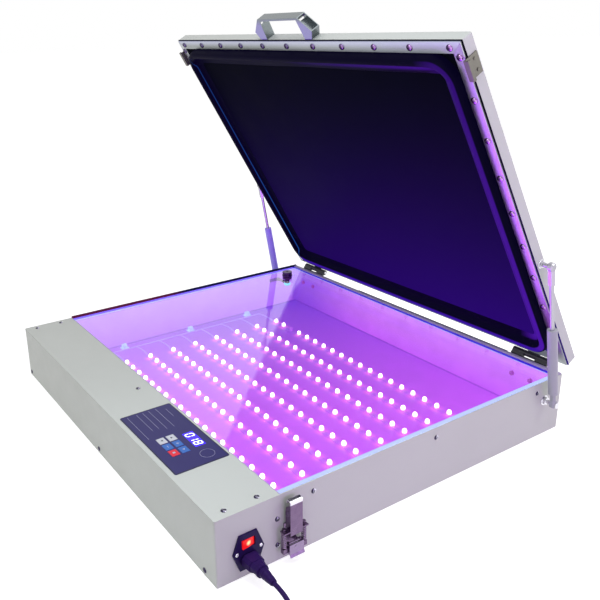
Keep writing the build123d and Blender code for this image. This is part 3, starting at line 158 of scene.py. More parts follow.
def mesh_from(build):
    """A mesh from a bmesh, with its faces turned outwards."""
    bmesh.ops.recalc_face_normals(build, faces=build.faces)
    return to_mesh(build)


def block(low, high, bevel=0.0):
    """A box between two corners, with rounded edges."""
    build = bmesh.new()
    low, high = Vector(low), Vector(high)
    place = Matrix.Translation((high + low) / 2) @ Matrix.Diagonal((*(high - low), 1))
    bmesh.ops.create_cube(build, size=1, matrix=place)
    if bevel:
        bmesh.ops.bevel(
            build, geom=build.edges, offset=bevel, segments=2, affect="EDGES", profile=0.5,
        )
    return mesh_from(build)


def thickened(build, thickness):
    """A bmesh's faces as a closed body, run up along Z."""
    top = bmesh.ops.extrude_face_region(build, geom=build.faces[:])["geom"]
    verts = [part for part in top if isinstance(part, bmesh.types.BMVert)]
    bmesh.ops.translate(build, vec=Vector((0, 0, thickness)), verts=verts)
    return mesh_from(build)


def prism(outline, low_z, thickness):
    """A closed outline in X and Y, run up along Z."""
    build = bmesh.new()
    build.faces.new([build.verts.new((x, y, low_z)) for x, y in outline])
    return thickened(build, thickness)


def lathe(profile, steps=32):
    """A profile of radius and height, turned about Z. A radius of 0 closes it."""
    build = bmesh.new()
    angles = [2 * math.pi * step / steps for step in range(steps)]
    rings = []
    for radius, height in profile:
        ring = [(radius * math.cos(angle), radius * math.sin(angle), height) for angle in angles]
        rings.append([build.verts.new(point) for point in (ring if radius else ring[:1])])
    for lower, upper in zip(rings, rings[1:]):
        for step in range(steps):
            after = (step + 1) % steps
            corners = [lower[step % len(lower)], lower[after % len(lower)]]
            corners += [upper[after % len(upper)], upper[step % len(upper)]]
            distinct = list(dict.fromkeys(corners))
            if len(distinct) > 2:
                build.faces.new(distinct)
    return mesh_from(build)


def loops_to_mesh(loops, closed):
    """Rings of points joined in order, which close on the first one or end in caps."""
    build = bmesh.new()
    rings = [[build.verts.new(point) for point in loop] for loop in loops]
    if closed:
        rings.append(rings[0])
    for ring, following in zip(rings, rings[1:]):
        for index, corner in enumerate(ring):
            after = (index + 1) % len(ring)
            build.faces.new([corner, ring[after], following[after], following[index]])
    if not closed:
        build.faces.new(rings[0][::-1])
        build.faces.new(rings[-1])
    return mesh_from(build)


def tube(path, radius, sides):
    """A round tube along points, whose section turns as little as it can."""
    points = [Vector(point) for point in path]
    runs = [(after - before).normalized() for before, after in zip(points, points[1:])]
    ways = runs[:1] + [(a + b).normalized() for a, b in zip(runs, runs[1:])] + runs[-1:]
    across = ways[0].orthogonal().normalized()
    turns = [2 * math.pi * side / sides for side in range(sides)]
    loops = []
    for point, way in zip(points, ways):
        across = (across - way * across.dot(way)).normalized()
        other = way.cross(across)
        spokes = [across * math.cos(turn) + other * math.sin(turn) for turn in turns]
        loops.append([point + spoke * radius for spoke in spokes])
    return loops_to_mesh(loops, False)


def carve(mesh, tool):
    """The mesh with the tool cut out of it."""
    body = new_object("body", mesh)
    cutter = new_object("cutter", tool)
    cut = body.modifiers.new("cut", "BOOLEAN")
    cut.object = cutter
    cut.operation = "DIFFERENCE"
    cut.solver = "EXACT"
    shown = body.evaluated_get(bpy.context.evaluated_depsgraph_get())
    carved = bpy.data.meshes.new_from_object(shown)
    for part in (body, cutter):
        bpy.data.objects.remove(part)
    return carved


def joined(parts):
    """Meshes at their places in one. Each part is a mesh, a matrix and a material's number."""
    build = bmesh.new()
    for mesh, matrix, number in parts:
        first_vert = len(build.verts)
        first_face = len(build.faces)
        build.from_mesh(mesh)
        build.verts.ensure_lookup_table()
        build.faces.ensure_lookup_table()
        bmesh.ops.transform(build, matrix=matrix, verts=build.verts[first_vert:])
        for face in build.faces[first_face:]:
            face.material_index = number
    return to_mesh(build)


def piece(name, body, mesh, finishes, stands_for=(), angle=35):
    """An object from a mesh, riding on a body and given its finishes."""
    made = new_object(name, mesh)
    for finish in finishes:
        mesh.materials.append(finish)
    for polygon in mesh.polygons:
        polygon.use_smooth = True
    mesh.set_sharp_from_angle(angle=math.radians(angle))
    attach(made, body)
    if stands_for:
        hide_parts(*stands_for)
    return made


# ---- shader nodes ----

BLACK = (0.0, 0.0, 0.0, 1)


class Shader:
    """The nodes of a material or a world, while they are added."""

    def __init__(self, owner):
        owner.use_nodes = True
        self.owner = owner
        self.tree = owner.node_tree

    def set(self, made, inputs):
        """Sets a node's sockets, or links them to the sockets that are given."""
        for name, value in inputs.items():
            if isinstance(value, bpy.types.NodeSocket):
                self.tree.links.new(value, made.inputs[name])
            else:
                made.inputs[name].default_value = value

    def node(self, kind, inputs=None, **settings):
        """A new node, with its settings made and its sockets set."""
        made = self.tree.nodes.new("ShaderNode" + kind)
        for name, value in settings.items():
            setattr(made, name, value)
        self.set(made, inputs or {})
        return made

    @cached_property
    def coordinates(self):
        return self.node("TexCoord").outputs

    @cached_property
    def place(self):
        """The object's own X, Y and Z."""
        return self.node("SeparateXYZ", {0: self.coordinates["Object"]}).outputs

    @cached_property
    def facing(self):
        """The parts of the surface's normal along X, Y and Z."""
        return self.node("SeparateXYZ", {0: self.coordinates["Normal"]}).outputs

    def maths(self, operation, first, second=0.0, clamp=False):
        inputs = {0: first, 1: second}
        return self.node("Math", inputs, operation=operation, use_clamp=clamp).outputs[0]

    def times(self, first, second):
        return self.maths("MULTIPLY", first, second)

    def minus(self, first, second):
        return self.maths("SUBTRACT", first, second)

    def mix(self, factor, first, second, blend="MIX"):
        inputs = {0: factor, 6: first, 7: second}
        return self.node("Mix", inputs, data_type="RGBA", blend_type=blend).outputs[2]

    def ramp(self, value, low, high, to_low=0.0, to_high=1.0, smooth=False):
        """One range turned into another, and held at its ends."""
        inputs = {"Value": value, "From Min": low, "From Max": high}
        inputs.update({"To Min": to_low, "To Max": to_high})
        kind = "SMOOTHSTEP" if smooth else "LINEAR"
        return self.node("MapRange", inputs, interpolation_type=kind).outputs[0]

    def distance(self, first, second):
        """The length of two ways at right angles, together."""
        squared = self.maths("ADD", self.times(first, first), self.times(second, second))
        return self.maths("SQRT", squared)

    def noise(self, scale, detail=2.0, roughness=0.5, stretch=(1, 1, 1)):
        """Noise over the object, stretched."""
        place = self.coordinates["Object"]
        if stretch != (1, 1, 1):
            place = self.node("Mapping", {"Vector": place, "Scale": stretch}).outputs[0]
        inputs = {"Vector": place, "Scale": scale, "Detail": detail, "Roughness": roughness}
        return self.node("TexNoise", inputs).outputs[0]

    def bump(self, height, distance, strength, edge=0.0):
        """A bump, over edges that are rounded a little."""
        inputs = {"Height": height, "Distance": distance, "Strength": strength}
        if edge:
            inputs["Normal"] = self.node("Bevel", {"Radius": edge}, samples=4).outputs[0]
        return self.node("Bump", inputs).outputs[0]

    def finish(self, glow=None, **inputs):
        """The material with its shader's sockets set. Underscores stand for their spaces."""
        if glow:
            inputs.update(Emission_Color=glow(self), Emission_Strength=1.0)
        named = {name.replace("_", " "): value for name, value in inputs.items()}
        self.set(self.tree.nodes["Principled BSDF"], named)
        return self.owner


def new_shader(name):
    return Shader(bpy.data.materials.new(name))


def shade(color, factor):
    return (*[min(part * factor, 1.0) for part in color], 1.0)


# ---- the lamps' light on other parts ----

def lid_ways(made):
    """A point's way up the open lid, its way out of the inner side, and how far it faces out."""
    inputs = {0: made.coordinates["Object"], 1: HINGE_POINT}
    from_hinge = made.node("VectorMath", inputs, operation="SUBTRACT").outputs[0]
    pairs = ((from_hinge, LID_UP), (from_hinge, LID_OUT), (made.coordinates["Normal"], LID_OUT))
    return [
        made.node("VectorMath", {0: vector, 1: way}, operation="DOT_PRODUCT").outputs["Value"]
        for vector, way in pairs
    ]


def violet_on_blanket(made):
    """The lamps' light on the rubber, strongest low down and to the right."""
    x, _, z = made.place
    amount = made.maths("POWER", made.ramp(z, 0.70, 0.14), 1.8)
    amount = made.times(amount, made.ramp(x, -0.45, 0.40, 0.45, 1.0))
    return made.mix(amount, BLACK, (0.024, 0.0015, 0.180, 1))


def violet_on_handle(made):
    """The lamps' light on the legs' outer faces, up to the bar."""
    up, out, level = lid_ways(made)
    legs = made.ramp(up, LID_FRONT + 44 * MM, LID_FRONT + 30 * MM)
    front_face = HINGE_POINT.z - RUBBER_Z
    outer = made.ramp(out, front_face - 4 * MM, front_face - 2 * MM)
    lit = made.times(made.ramp(level, 0.3, 0.8), outer)
    return made.mix(made.times(lit, legs), BLACK, (0.085, 0.035, 0.29, 1))


def light_on_strip(made):
    """The lamps' light on the front strip: along its outer edge, and stronger to the right."""
    up = lid_ways(made)[0]
    at_edge = made.ramp(up, LID_FRONT - 13 * MM, LID_FRONT - 4 * MM)
    rightward = made.ramp(made.place[0], -0.15, 0.40)
    lit = made.mix(rightward, BLACK, (0.13, 0.14, 0.17, 1))
    return made.mix(at_edge, lit, (0.15, 0.15, 0.26, 1), "ADD")


def violet_on_bolts(made):
    """The lamps' light on the hinges' bolts, where they come through into the chamber."""
    inside = made.ramp(made.place[1], BACK_Y - 2 * MM, BACK_Y - 3 * MM)
    return made.mix(inside, BLACK, (0.30, 0.035, 0.36, 1))


def violet_on_bead(made):
    """The lamps' light on the bead: its crest low down and at the right, its top slope, and a
    painted blue glint along the left bead's foot.
    """
    x, _, z = made.place
    up, _, level = lid_ways(made)
    at_hinge = made.ramp(up, 38 * MM, 43 * MM, 1.0, 0.0)
    low_down = made.ramp(z, 0.75, 0.14, 0.30, 1.0)
    on_crest = made.maths("MAXIMUM", at_hinge, made.ramp(x, 0.33, 0.37))
    on_crest = made.times(on_crest, made.ramp(level, 0.78, 0.96, smooth=True))
    on_crest = made.times(on_crest, low_down)
    downward = made.times(made.facing[2], -1.0)
    on_top = made.ramp(downward, 0.70, 0.84, smooth=True)
    on_top = made.times(on_top, made.ramp(up, 0.60, 0.63))
    on_top = made.times(on_top, made.ramp(x, -0.02, 0.32, 0.0, 0.55))
    on_top = made.times(on_top, made.ramp(x, 0.345, 0.365, 1.0, 0.4))
    violet = made.mix(at_hinge, (0.070, 0.007, 0.38, 1), (0.040, 0.006, 0.33, 1))
    amount = made.maths("MAXIMUM", on_crest, on_top)
    lit = made.mix(amount, (0.0008, 0.0, 0.008, 1), violet)
    # A painted blue glint along a line at the left, stronger low down.
    off_line = made.maths("ABSOLUTE", made.maths("ADD", x, 0.3815))
    blue_glint = made.times(made.ramp(off_line, 0.0, 0.9 * MM, 1.0, 0.0), low_down)
    return made.mix(blue_glint, lit, (0.010, 0.075, 0.38, 1))


def painted_glow_on_seal(made):
    """Painted light on the sealant: a dark red glow along the front half of the sealant at the
    left, and dark blue elsewhere.
    """
    frontward = made.ramp(made.place[1], 0.03, -0.02)
    return made.mix(frontward, (0.002, 0.002, 0.020, 1), (0.085, 0.002, 0.012, 1))


# ---- kinds of material ----

def painted(name, color, roughness=0.42, edge=0.8 * MM):
    """Powder coat: an orange-peel skin, a slow change of tone and softened edges."""
    made = new_shader(name)
    smudge = made.noise(38.0, 4.0, 0.65)
    return made.finish(
        Base_Color=made.mix(made.noise(5.0, 3.0), shade(color, 0.95), shade(color, 1.03)),
        Roughness=made.ramp(smudge, 0.3, 0.7, roughness - 0.05, roughness + 0.08),
        Normal=made.bump(made.noise(1500.0, 1.0), 0.05 * MM, 0.35, edge),
        Specular_IOR_Level=0.45,
    )


def rubbery(name, color, roughness=0.5, grain=900.0, depth=0.05 * MM, specular=0.3, glow=None):
    """Rubber: a fine grain and dusty patches, with any light on it painted as a glow."""
    made = new_shader(name)
    dust = made.noise(9.0, 5.0, 0.6)
    return made.finish(
        glow,
        Base_Color=made.mix(dust, shade(color, 0.8), shade(color, 1.35)),
        Roughness=made.ramp(dust, 0.25, 0.75, roughness - 0.08, roughness + 0.1),
        Normal=made.bump(made.noise(grain), depth, 0.5, 0.5 * MM),
        Specular_IOR_Level=specular,
    )


def metallic(
    name, color, roughness=0.3, stretch=(1, 1, 1), streaks=700.0, edge=0.4 * MM, streak=0.06,
    glow=None,
):
    """Metal with the lines of its making, stretched along one way, and fine scratches, with any
    light on it painted as a glow.
    """
    made = new_shader(name)
    lines = made.noise(streaks, 3.0, stretch=stretch)
    wear = made.noise(60.0, 5.0, 0.7)
    return made.finish(
        glow,
        Base_Color=made.mix(wear, shade(color, 0.86), shade(color, 1.06)),
        Metallic=1.0,
        Roughness=made.ramp(lines, 0.2, 0.8, max(roughness - streak, 0.03), roughness + streak),
        Normal=made.bump(lines, 0.02 * MM, 0.3, edge),
    )


def screw_finish(name, dark, bright, axis, start, highlight_at_left=None):
    """Bright screws, with painted shade on one side of each dome and a painted highlight on the
    other.
    """
    made = new_shader(name)
    # The painted highlight is dimmer towards the left.
    if highlight_at_left:
        bright = made.mix(made.ramp(made.place[0], 0.0, 0.42), highlight_at_left, bright)
    wear = made.noise(300.0, 3.0)
    # The side of each dome that takes the painted highlight.
    painted_highlight_side = made.ramp(made.facing[axis], start, start + 0.6, smooth=True)
    return made.finish(
        Base_Color=made.mix(painted_highlight_side, dark, bright),
        Metallic=1.0,
        Roughness=made.ramp(wear, 0.2, 0.8, 0.14, 0.26),
        Normal=made.bump(wear, 0.02 * MM, 0.3, 0.3 * MM),
    )


def latch_finish(name, dark, light):
    """Plated steel: mauve under the lamps, with a bright lip at the claw's top."""
    made = new_shader(name)
    wear = made.noise(90.0, 4.0, 0.65)
    lip = made.ramp(made.place[2], LATCH_LIP_Z - 1 * MM, LATCH_LIP_Z)
    return made.finish(
        Base_Color=made.mix(lip, made.mix(wear, dark, light), (0.80, 0.78, 0.84, 1)),
        Metallic=1.0,
        Roughness=made.ramp(wear, 0.2, 0.8, 0.20, 0.30),
        Normal=made.bump(wear, 0.05 * MM, 0.3, 0.6 * MM),
    )


def moulded(name, color, roughness=0.4, light=None, strength=0.0, specular=0.4, grain=1200.0):
    """Moulded plastic: a fine spark grain and softened edges, with any light given as a glow: a
    real backlight in the display, and painted lamp light on parts that are no lamps.
    """
    made = new_shader(name)
    tone = made.noise(30.0)
    lit = {"Emission_Color": (*light, 1.0), "Emission_Strength": strength} if light else {}
    return made.finish(
        Base_Color=made.mix(tone, shade(color, 0.92), shade(color, 1.08)),
        Roughness=made.ramp(tone, 0.2, 0.8, roughness - 0.05, roughness + 0.05),
        Normal=made.bump(made.noise(grain, 1.0), 0.02 * MM, 0.4, 0.4 * MM),
        Specular_IOR_Level=specular,
        **lit,
    )


# ---- single materials ----

def near_lamp(made, reach):
    """1 at a lamp's centre and 0 at reach from it, except at the lamp that isn't lit."""
    x, y, _ = made.place
    ways = []
    matches = []
    for part, first, pitch, count, dark in (
        (x, FIRST_LAMP_X, LAMP_PITCH, LAMPS_PER_ROW, UNLIT_LAMP),
        (y, FIRST_ROW_Y, ROW_PITCH, LAMP_ROWS, UNLIT_ROW),
    ):
        counted = made.maths("DIVIDE", made.minus(part, first), pitch)
        nearest = made.maths("MAXIMUM", made.maths("ROUND", counted), 0.0)
        nearest = made.maths("MINIMUM", nearest, count - 1.0)
        ways.append(made.times(made.minus(counted, nearest), pitch))
        matches.append(made.maths("COMPARE", nearest, float(dark)))
    halo = made.ramp(made.distance(*ways), 0.0, reach, 1.0, 0.0, smooth=True)
    return made.times(halo, made.maths("SUBTRACT", 1.0, made.times(*matches), clamp=True))


def chamber_paint():
    """White paint under the violet lamps, its colour all a glow of painted lamp light: deeper at
    the back left, pinker at the right and the top, with a painted pink pool round each lit lamp.
    """
    made = new_shader("chamber_paint")
    x, y, z = made.place
    forward = made.ramp(y, 0.37, -0.25, 0.0, 0.45)
    pinker = made.maths("ADD", made.ramp(x, -0.40, 0.35), forward, clamp=True)
    floor_color = made.mix(pinker, (0.17, 0.045, 0.62, 1), (0.60, 0.095, 0.90, 1))
    # Painted shade along the corner where the floor meets the walls.
    corner_shade = made.ramp(z, 0.0102, 0.0106, 0.0, 0.55)
    shaded_foot_color = made.mix(corner_shade, floor_color, (0.12, 0.02, 0.42, 1))
    wall_height = made.ramp(z, 0.0145, 0.10)
    rosy = made.maths("MAXIMUM", pinker, made.ramp(x, -0.40, -0.08, smooth=True))
    back_foot = made.mix(rosy, (0.24, 0.06, 0.70, 1), (0.62, 0.12, 0.94, 1))
    back_top = made.mix(rosy, (0.32, 0.12, 0.82, 1), (0.72, 0.25, 0.99, 1))
    back_wall = made.mix(wall_height, back_foot, back_top)
    left_wall = made.mix(wall_height, (0.44, 0.14, 0.90, 1), (0.54, 0.27, 0.97, 1))
    side_wall = made.mix(made.ramp(x, -0.40, -0.39), left_wall, (0.68, 0.24, 0.99, 1))
    wall = made.mix(made.ramp(y, 0.355, 0.365), side_wall, back_wall)
    color = made.mix(made.ramp(z, 0.0125, 0.0145), shaded_foot_color, wall)
    mottle = made.noise(26.0, 4.0, 0.6)
    toned = made.mix(made.ramp(mottle, 0.35, 0.65, 0.0, 0.22), color, (0.30, 0.07, 0.60, 1))
    on_floor = made.ramp(z, 0.012, 0.014, 1.0, 0.0)
    halo = made.times(near_lamp(made, 20 * MM), on_floor)
    return made.finish(
        Base_Color=(0.13, 0.06, 0.24, 1),
        Roughness=0.5,
        Emission_Color=made.mix(halo, toned, (1.0, 0.18, 0.88, 1)),
        Emission_Strength=1.0,
        Normal=made.bump(mottle, 0.2 * MM, 0.5),
    )


def lamp_board():
    """The white strip that carries the lamps, lit up by them."""
    made = new_shader("lamp_board")
    across = made.ramp(made.place[0], -0.32, 0.30)
    board = made.mix(across, (0.30, 0.10, 0.74, 1), (0.56, 0.12, 0.90, 1))
    return made.finish(
        Base_Color=(0.16, 0.08, 0.24, 1),
        Roughness=made.ramp(made.noise(300.0), 0.3, 0.7, 0.4, 0.5),
        Specular_IOR_Level=0.2,
        Emission_Color=made.mix(near_lamp(made, 15 * MM), board, (1.0, 0.24, 0.90, 1)),
        Emission_Strength=0.95,
    )


def lit_lens():
    """A lamp's clear dome, white at its crown and pink round its foot."""
    made = new_shader("lamp_lens")
    crown = made.ramp(made.place[2], CHAMBER_FLOOR_Z + 2.8 * MM, CHAMBER_FLOOR_Z + 6.0 * MM)
    return made.finish(
        Base_Color=(0.5, 0.3, 0.5, 1),
        Roughness=0.3,
        Emission_Color=made.mix(crown, (1.0, 0.25, 0.90, 1), (1.0, 0.88, 1.0, 1)),
        Emission_Strength=made.ramp(crown, 0.0, 1.0, 1.05, 4.0),
    )


def clear_glass():
    """Clear plate glass with a faint cold tint and a little dust."""
    made = new_shader("bed_glass")
    return made.finish(
        Base_Color=(0.97, 0.98, 1.0, 1),
        Transmission_Weight=1.0,
        Roughness=made.ramp(made.noise(7.0, 6.0, 0.7), 0.5, 0.8, 0.0, 0.03),
        IOR=1.38,
    )


def gasket_foam():
    """Pale foam under the glass, its tint and glow painted lamp light: blue-white, deeper at the
    left and violet along the back.
    """
    made = new_shader("gasket_foam")
    x, y, _ = made.place
    leftward = made.ramp(x, -SIDE_X + 13.5 * MM, -SIDE_X + 14 * MM, 1.0, 0.0)
    backward = made.ramp(y, BACK_Y - 15 * MM, BACK_Y - 13 * MM)
    tint = made.mix(leftward, (0.56, 0.62, 0.80, 1), (0.34, 0.24, 0.86, 1))
    tint = made.mix(backward, tint, (0.06, 0.02, 0.62, 1))
    return made.finish(
        Base_Color=tint,
        Roughness=0.8,
        Emission_Color=tint,
        Emission_Strength=0.55,
        Normal=made.bump(made.noise(900.0), 0.1 * MM, 0.6),
    )


def overlay_print():
    """The panel's printed film: indigo under a satin skin."""
    made = new_shader("panel_film")
    tone = made.noise(18.0, 3.0)
    return made.finish(
        Base_Color=made.mix(tone, (0.030, 0.026, 0.125, 1), (0.040, 0.034, 0.155, 1)),
        Roughness=0.38,
        Normal=made.bump(made.noise(2500.0, 1.0), 0.02 * MM, 0.3),
        Specular_IOR_Level=0.18,
    )


def rocker_lens():
    """The lit rocker: red with a hot middle."""
    made = new_shader("rocker_lens")
    low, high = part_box("rocker_switch")
    middle = (low + high) / 2
    _, y, z = made.place
    away = made.distance(made.minus(y, middle.y), made.minus(z, middle.z))
    hot = made.ramp(away, 0.8 * MM, 5.2 * MM, 1.0, 0.0, smooth=True)
    return made.finish(
        Base_Color=(0.30, 0.004, 0.004, 1),
        Roughness=0.25,
        Specular_IOR_Level=0.2,
        Emission_Color=made.mix(hot, (0.62, 0.006, 0.008, 1), (1.0, 0.85, 0.42, 1)),
        Emission_Strength=1.15,
    )


# ---- materials ----

blanket_rubber = rubbery(
    "blanket_rubber", (0.0025, 0.003, 0.007), 0.5, 500.0, 0.04 * MM, 0.004, violet_on_blanket,
)
bead_rubber = rubbery(
    "bead_rubber", (0.002, 0.002, 0.006), 0.4, 700.0, 0.03 * MM, 0.01, violet_on_bead,
)
cord_rubber = rubbery("cord_rubber", (0.026, 0.009, 0.085), 0.4, 1200.0, specular=0.08)
seal_rubber = rubbery("seal_rubber", (0.008, 0.007, 0.030), specular=0.1, glow=painted_glow_on_seal)
# Both screw finishes are painted shade and painted highlights; the lid screws' pink highlight is
# lamp light.
screw_metal = screw_finish(
    "screw_metal", (0.040, 0.020, 0.080, 1), (0.52, 0.28, 0.62, 1), 0, -0.1, (0.13, 0.11, 0.19, 1),
)
dark_screw_metal = screw_finish(
    "dark_screw_metal", (0.030, 0.024, 0.060, 1), (0.66, 0.64, 0.74, 1), 1, -0.35,
)
bright_metal = metallic(
    "bright_metal", (0.72, 0.71, 0.76), 0.14, streaks=300.0, edge=0.5 * MM, streak=0.04,
)
# Its mauve is painted lamp light on the steel, as on the latches.
spring_metal = metallic("spring_metal", (0.30, 0.22, 0.34), 0.22)
brass_metal = metallic("pin_metal", (0.66, 0.56, 0.32), 0.25)
# The wires' violet glow is painted lamp light.
wire_plastic = moulded("wire_plastic", (0.42, 0.30, 0.75), 0.4, (0.40, 0.20, 0.85), 0.55)
# Pale trim paint, its lilac painted lamp light.
lamplit_trim = moulded("lamplit_trim", (0.48, 0.42, 0.60), 0.5)
dark_ink = moulded("dark_ink", (0.04, 0.04, 0.07), 0.5)
pale_ink = moulded("pale_ink", (0.48, 0.48, 0.62), 0.5)
border_ink = moulded("border_ink", (0.012, 0.010, 0.040), 0.5)
# The unlit lamp's glow is painted light from the lit lamps round it.
unlit_lens = moulded("unlit_lens", (0.45, 0.20, 0.62), 0.25, (0.42, 0.10, 0.75), 0.7)
lit_digit = moulded("lit_digit", (0.8, 0.85, 1.0), 0.3, (0.85, 0.90, 1.0), 1.3)
# The collar's cyan glow is painted lamp light.
collar_plastic = moulded("collar_plastic", (0.05, 0.55, 0.85), 0.3, (0.05, 0.75, 1.0), 0.9)
lens_glow = lit_lens()
board_glow = lamp_board()
latch_metal = latch_finish("latch_metal", (0.12, 0.075, 0.145, 1), (0.22, 0.15, 0.25, 1))
lever_metal = latch_finish("lever_metal", (0.20, 0.14, 0.25, 1), (0.34, 0.26, 0.40, 1))
strip_metal = metallic(
    "strip_metal", (0.31, 0.33, 0.33), 0.34, (1, 30, 30), 90.0, streak=0.12, glow=light_on_strip,
)
handle_metal = metallic(
    "handle_metal", (0.20, 0.225, 0.235), 0.30, (1, 40, 40), 60.0, glow=violet_on_handle,
)

NODE_FINISHES = (
    (painted("case_paint", (0.60, 0.62, 0.585)), "housing control_cover bottom_plate"),
    (painted("lid_paint", (0.62, 0.645, 0.625)), "lid_pan"),
    (painted("inner_paint", (0.5, 0.5, 0.52)), "bulkhead"),
    (
        painted("hinge_paint", (0.012, 0.012, 0.018), 0.35, 0.5 * MM),
        "hinge_base_leaves hinge_lid_leaves",
    ),
    (painted("strut_paint", (0.42, 0.42, 0.48), 0.3, 0.5 * MM), "strut_cylinder_right"),
    # The left strut's violet tint and glow are painted lamp light.
    (
        moulded("left_strut_lamplit_paint", (0.30, 0.28, 0.50), 0.3, (0.12, 0.07, 0.60), 0.5, grain=1500.0),
        "strut_cylinder_left",
    ),
    (chamber_paint(), "chamber_liner"),
    (clear_glass(), "glass_plate"),
    (gasket_foam(), "glass_gasket"),
    # The clips' glow is painted lamp light.
    (moulded("clip_plastic", (0.40, 0.55, 0.90), 0.4, (0.36, 0.50, 0.95), 0.6), "cable_clips"),
    (metallic("port_metal", (0.060, 0.030, 0.10), 0.2), "vacuum_port vacuum_port_nut"),
    (rubbery("hose_rubber", (0.5, 0.5, 0.5), 0.35), "vacuum_hose"),
    (metallic("cage_metal", (0.6, 0.6, 0.62), 0.4), "vacuum_pump power_supply"),
    (moulded("board_laminate", (0.02, 0.16, 0.07), 0.35), "control_board"),
    (moulded("blue_window", (0.01, 0.005, 0.5), 0.2, (0.055, 0.008, 0.95), 1.0), "display_module"),
    (overlay_print(), "control_panel"),
    (moulded("white_key", (0.62, 0.63, 0.68), 0.45), "key_1 key_2"),
    (moulded("blue_key", (0.035, 0.15, 0.52)), "key_3 key_4 key_6"),
    (moulded("red_key", (0.82, 0.018, 0.045)), "key_5"),
    (moulded("inlet_plastic", (0.018, 0.008, 0.065), 0.3, specular=0.1), "inlet_body"),
    (rocker_lens(), "rocker_switch"),
    (cord_rubber, "power_connector mains_plug"),
    (bright_metal, "hinge_pins strut_base_studs strut_lid_feet"),
    (metallic("rod_metal", (0.46, 0.45, 0.50), 0.34), "strut_rod_right strut_rod_left"),
    (metallic("bolt_metal", (0.20, 0.19, 0.22), 0.3, glow=violet_on_bolts), "hinge_bolts"),
    (latch_metal, "latch_plates latch_claw_right latch_claw_left"),
    (lever_metal, "latch_lever_right latch_lever_left"),
    (strip_metal, "clamp_strip_front clamp_strip_back"),
    # The side strips' metal is a lighter copy of the front and back strips' metal, as painted
    # light.
    (
        metallic("side_strip_metal", (0.44, 0.46, 0.48), 0.34, (30, 1, 1.5), 90.0, streak=0.12),
        "clamp_strip_left clamp_strip_right",
    ),
    (handle_metal, "handle"),
    (metallic("nickel_metal", (0.17, 0.16, 0.145), 0.45), "lid_keepers"),
)
for finish, names in NODE_FINISHES:
    for name in names.split():
        materials = frame["nodes"][name].data.materials
        materials.clear()
        materials.append(finish)


# ---- camera, light and floor ----

def make_camera():
    """The photograph's view: a little from the right, with a small roll and shift."""
    azimuth, elevation, roll = 57.25, 18.59, -1.48
    lens = bpy.data.cameras.new("view")
    lens.lens = 44.10
    lens.sensor_width = 36.0
    lens.shift_x = 0.0833
    lens.shift_y = -0.0417
    camera = new_object("view", lens)
    turn = turned(azimuth, "Z") @ turned(90 - elevation, "X") @ turned(roll, "Z")
    camera.matrix_world = at(1.16612, -0.7928, 0.75136) @ turn
    bpy.context.scene.camera = camera


def area_light(name, place, target, size, power, color=(1, 1, 1)):
    """A soft light that looks at a point and that no camera sees."""
    data = bpy.data.lights.new(name, "AREA")
    data.shape = "RECTANGLE"
    data.size, data.size_y = size
    data.energy = power
    data.color = color
    lamp = new_object(name, data)
    lamp.location = place
    lamp.rotation_euler = (Vector(target) - Vector(place)).to_track_quat("-Z", "Y").to_euler()
    lamp.visible_camera = False


def seen_directly(made):
    """1 for the camera, reflections and glass, and 0 where the surroundings light a surface."""
    path = made.node("LightPath").outputs
    seen = made.maths("MAXIMUM", path["Is Camera Ray"], path["Is Glossy Ray"])
    return made.maths("MAXIMUM", seen, path["Is Transmission Ray"])


def make_world():
    """White to the eye and in reflections, and dimmer as a light."""
    world = bpy.data.worlds.new("studio")
    bpy.context.scene.world = world
    made = Shader(world)
    strength = made.ramp(seen_directly(made), 0.0, 1.0, 0.50, 1.0)
    made.set(made.tree.nodes["Background"], {"Strength": strength, "Color": (1, 1, 1, 1)})


def make_floor():
    """A wide pale floor that keeps the object's shadow."""
    floor = new_object("floor", block((-30, -30, -0.002), (30, 30, -0.0002)))
    made = new_shader("floor_paint")
    floor.data.materials.append(made.finish(
        Base_Color=(0.72, 0.72, 0.72, 1),
        Roughness=0.9,
        Specular_IOR_Level=0.0,
        Emission_Color=(1, 1, 1, 1),
        Emission_Strength=made.times(seen_directly(made), 0.68),
    ))


bpy.context.scene.view_settings.view_transform = "Standard"
make_camera()
make_world()
make_floor()
area_light("key", (0.5, -0.2, 2.3), (0, 0.1, 0.2), (1.6, 1.6), 10.5)
area_light("fill", (-1.8, -1.6, 1.4), (0, 0, 0.1), (1.8, 1.4), 4, (1.0, 0.99, 0.95))
area_light("side", (2.2, -0.1, 0.35), (0.4, -0.1, 0.06), (1.2, 0.6), 7.4, (0.62, 0.16, 1.0))
area_light("lid_side", (1.0, 0.6, 0.9), (0.42, 0.1, 0.5), (0.4, 0.4), 2.0, (0.96, 1.0, 0.92))
area_light("back", (0.3, 2.3, 1.7), (0, 0.35, 0.3), (1.4, 1.0), 9)
area_light("corner", (0.42, -0.42, 0.85), (0.28, -0.34, 0.11), (0.3, 0.3), 2.0, (0.80, 0.91, 1.0))
area_light(
    "violet", (0.05, 0.05, BASE_TOP + 2 * MM), (0.05, 0.05, 1.0), (0.62, 0.46), 2.6,
    (0.42, 0.10, 1.0),
)


# ---- mains lead ----

def coil_point(turn):
    """The lead's centre in the coil after a number of turns: in, up a layer, and out again."""
    reversal = COIL_TURNS_PER_LAYER + 0.25
    radius = COIL_OUTER_RADIUS - COIL_PITCH * (reversal - abs(turn - reversal))
    climbed = min(max((turn - COIL_TURNS_PER_LAYER) / 0.5, 0.0), 1.0)
    height = COIL_LAYER * climbed * climbed * (3 - 2 * climbed)
    angle = math.pi / 2 - 2 * math.pi * turn
    return Vector((
        COIL_ENTRY_X + 2 * CORD_RADIUS + radius * math.cos(angle),
        INLET_Y - COIL_OUTER_RADIUS + radius * math.sin(angle),
        CORD_RADIUS + height,
    ))


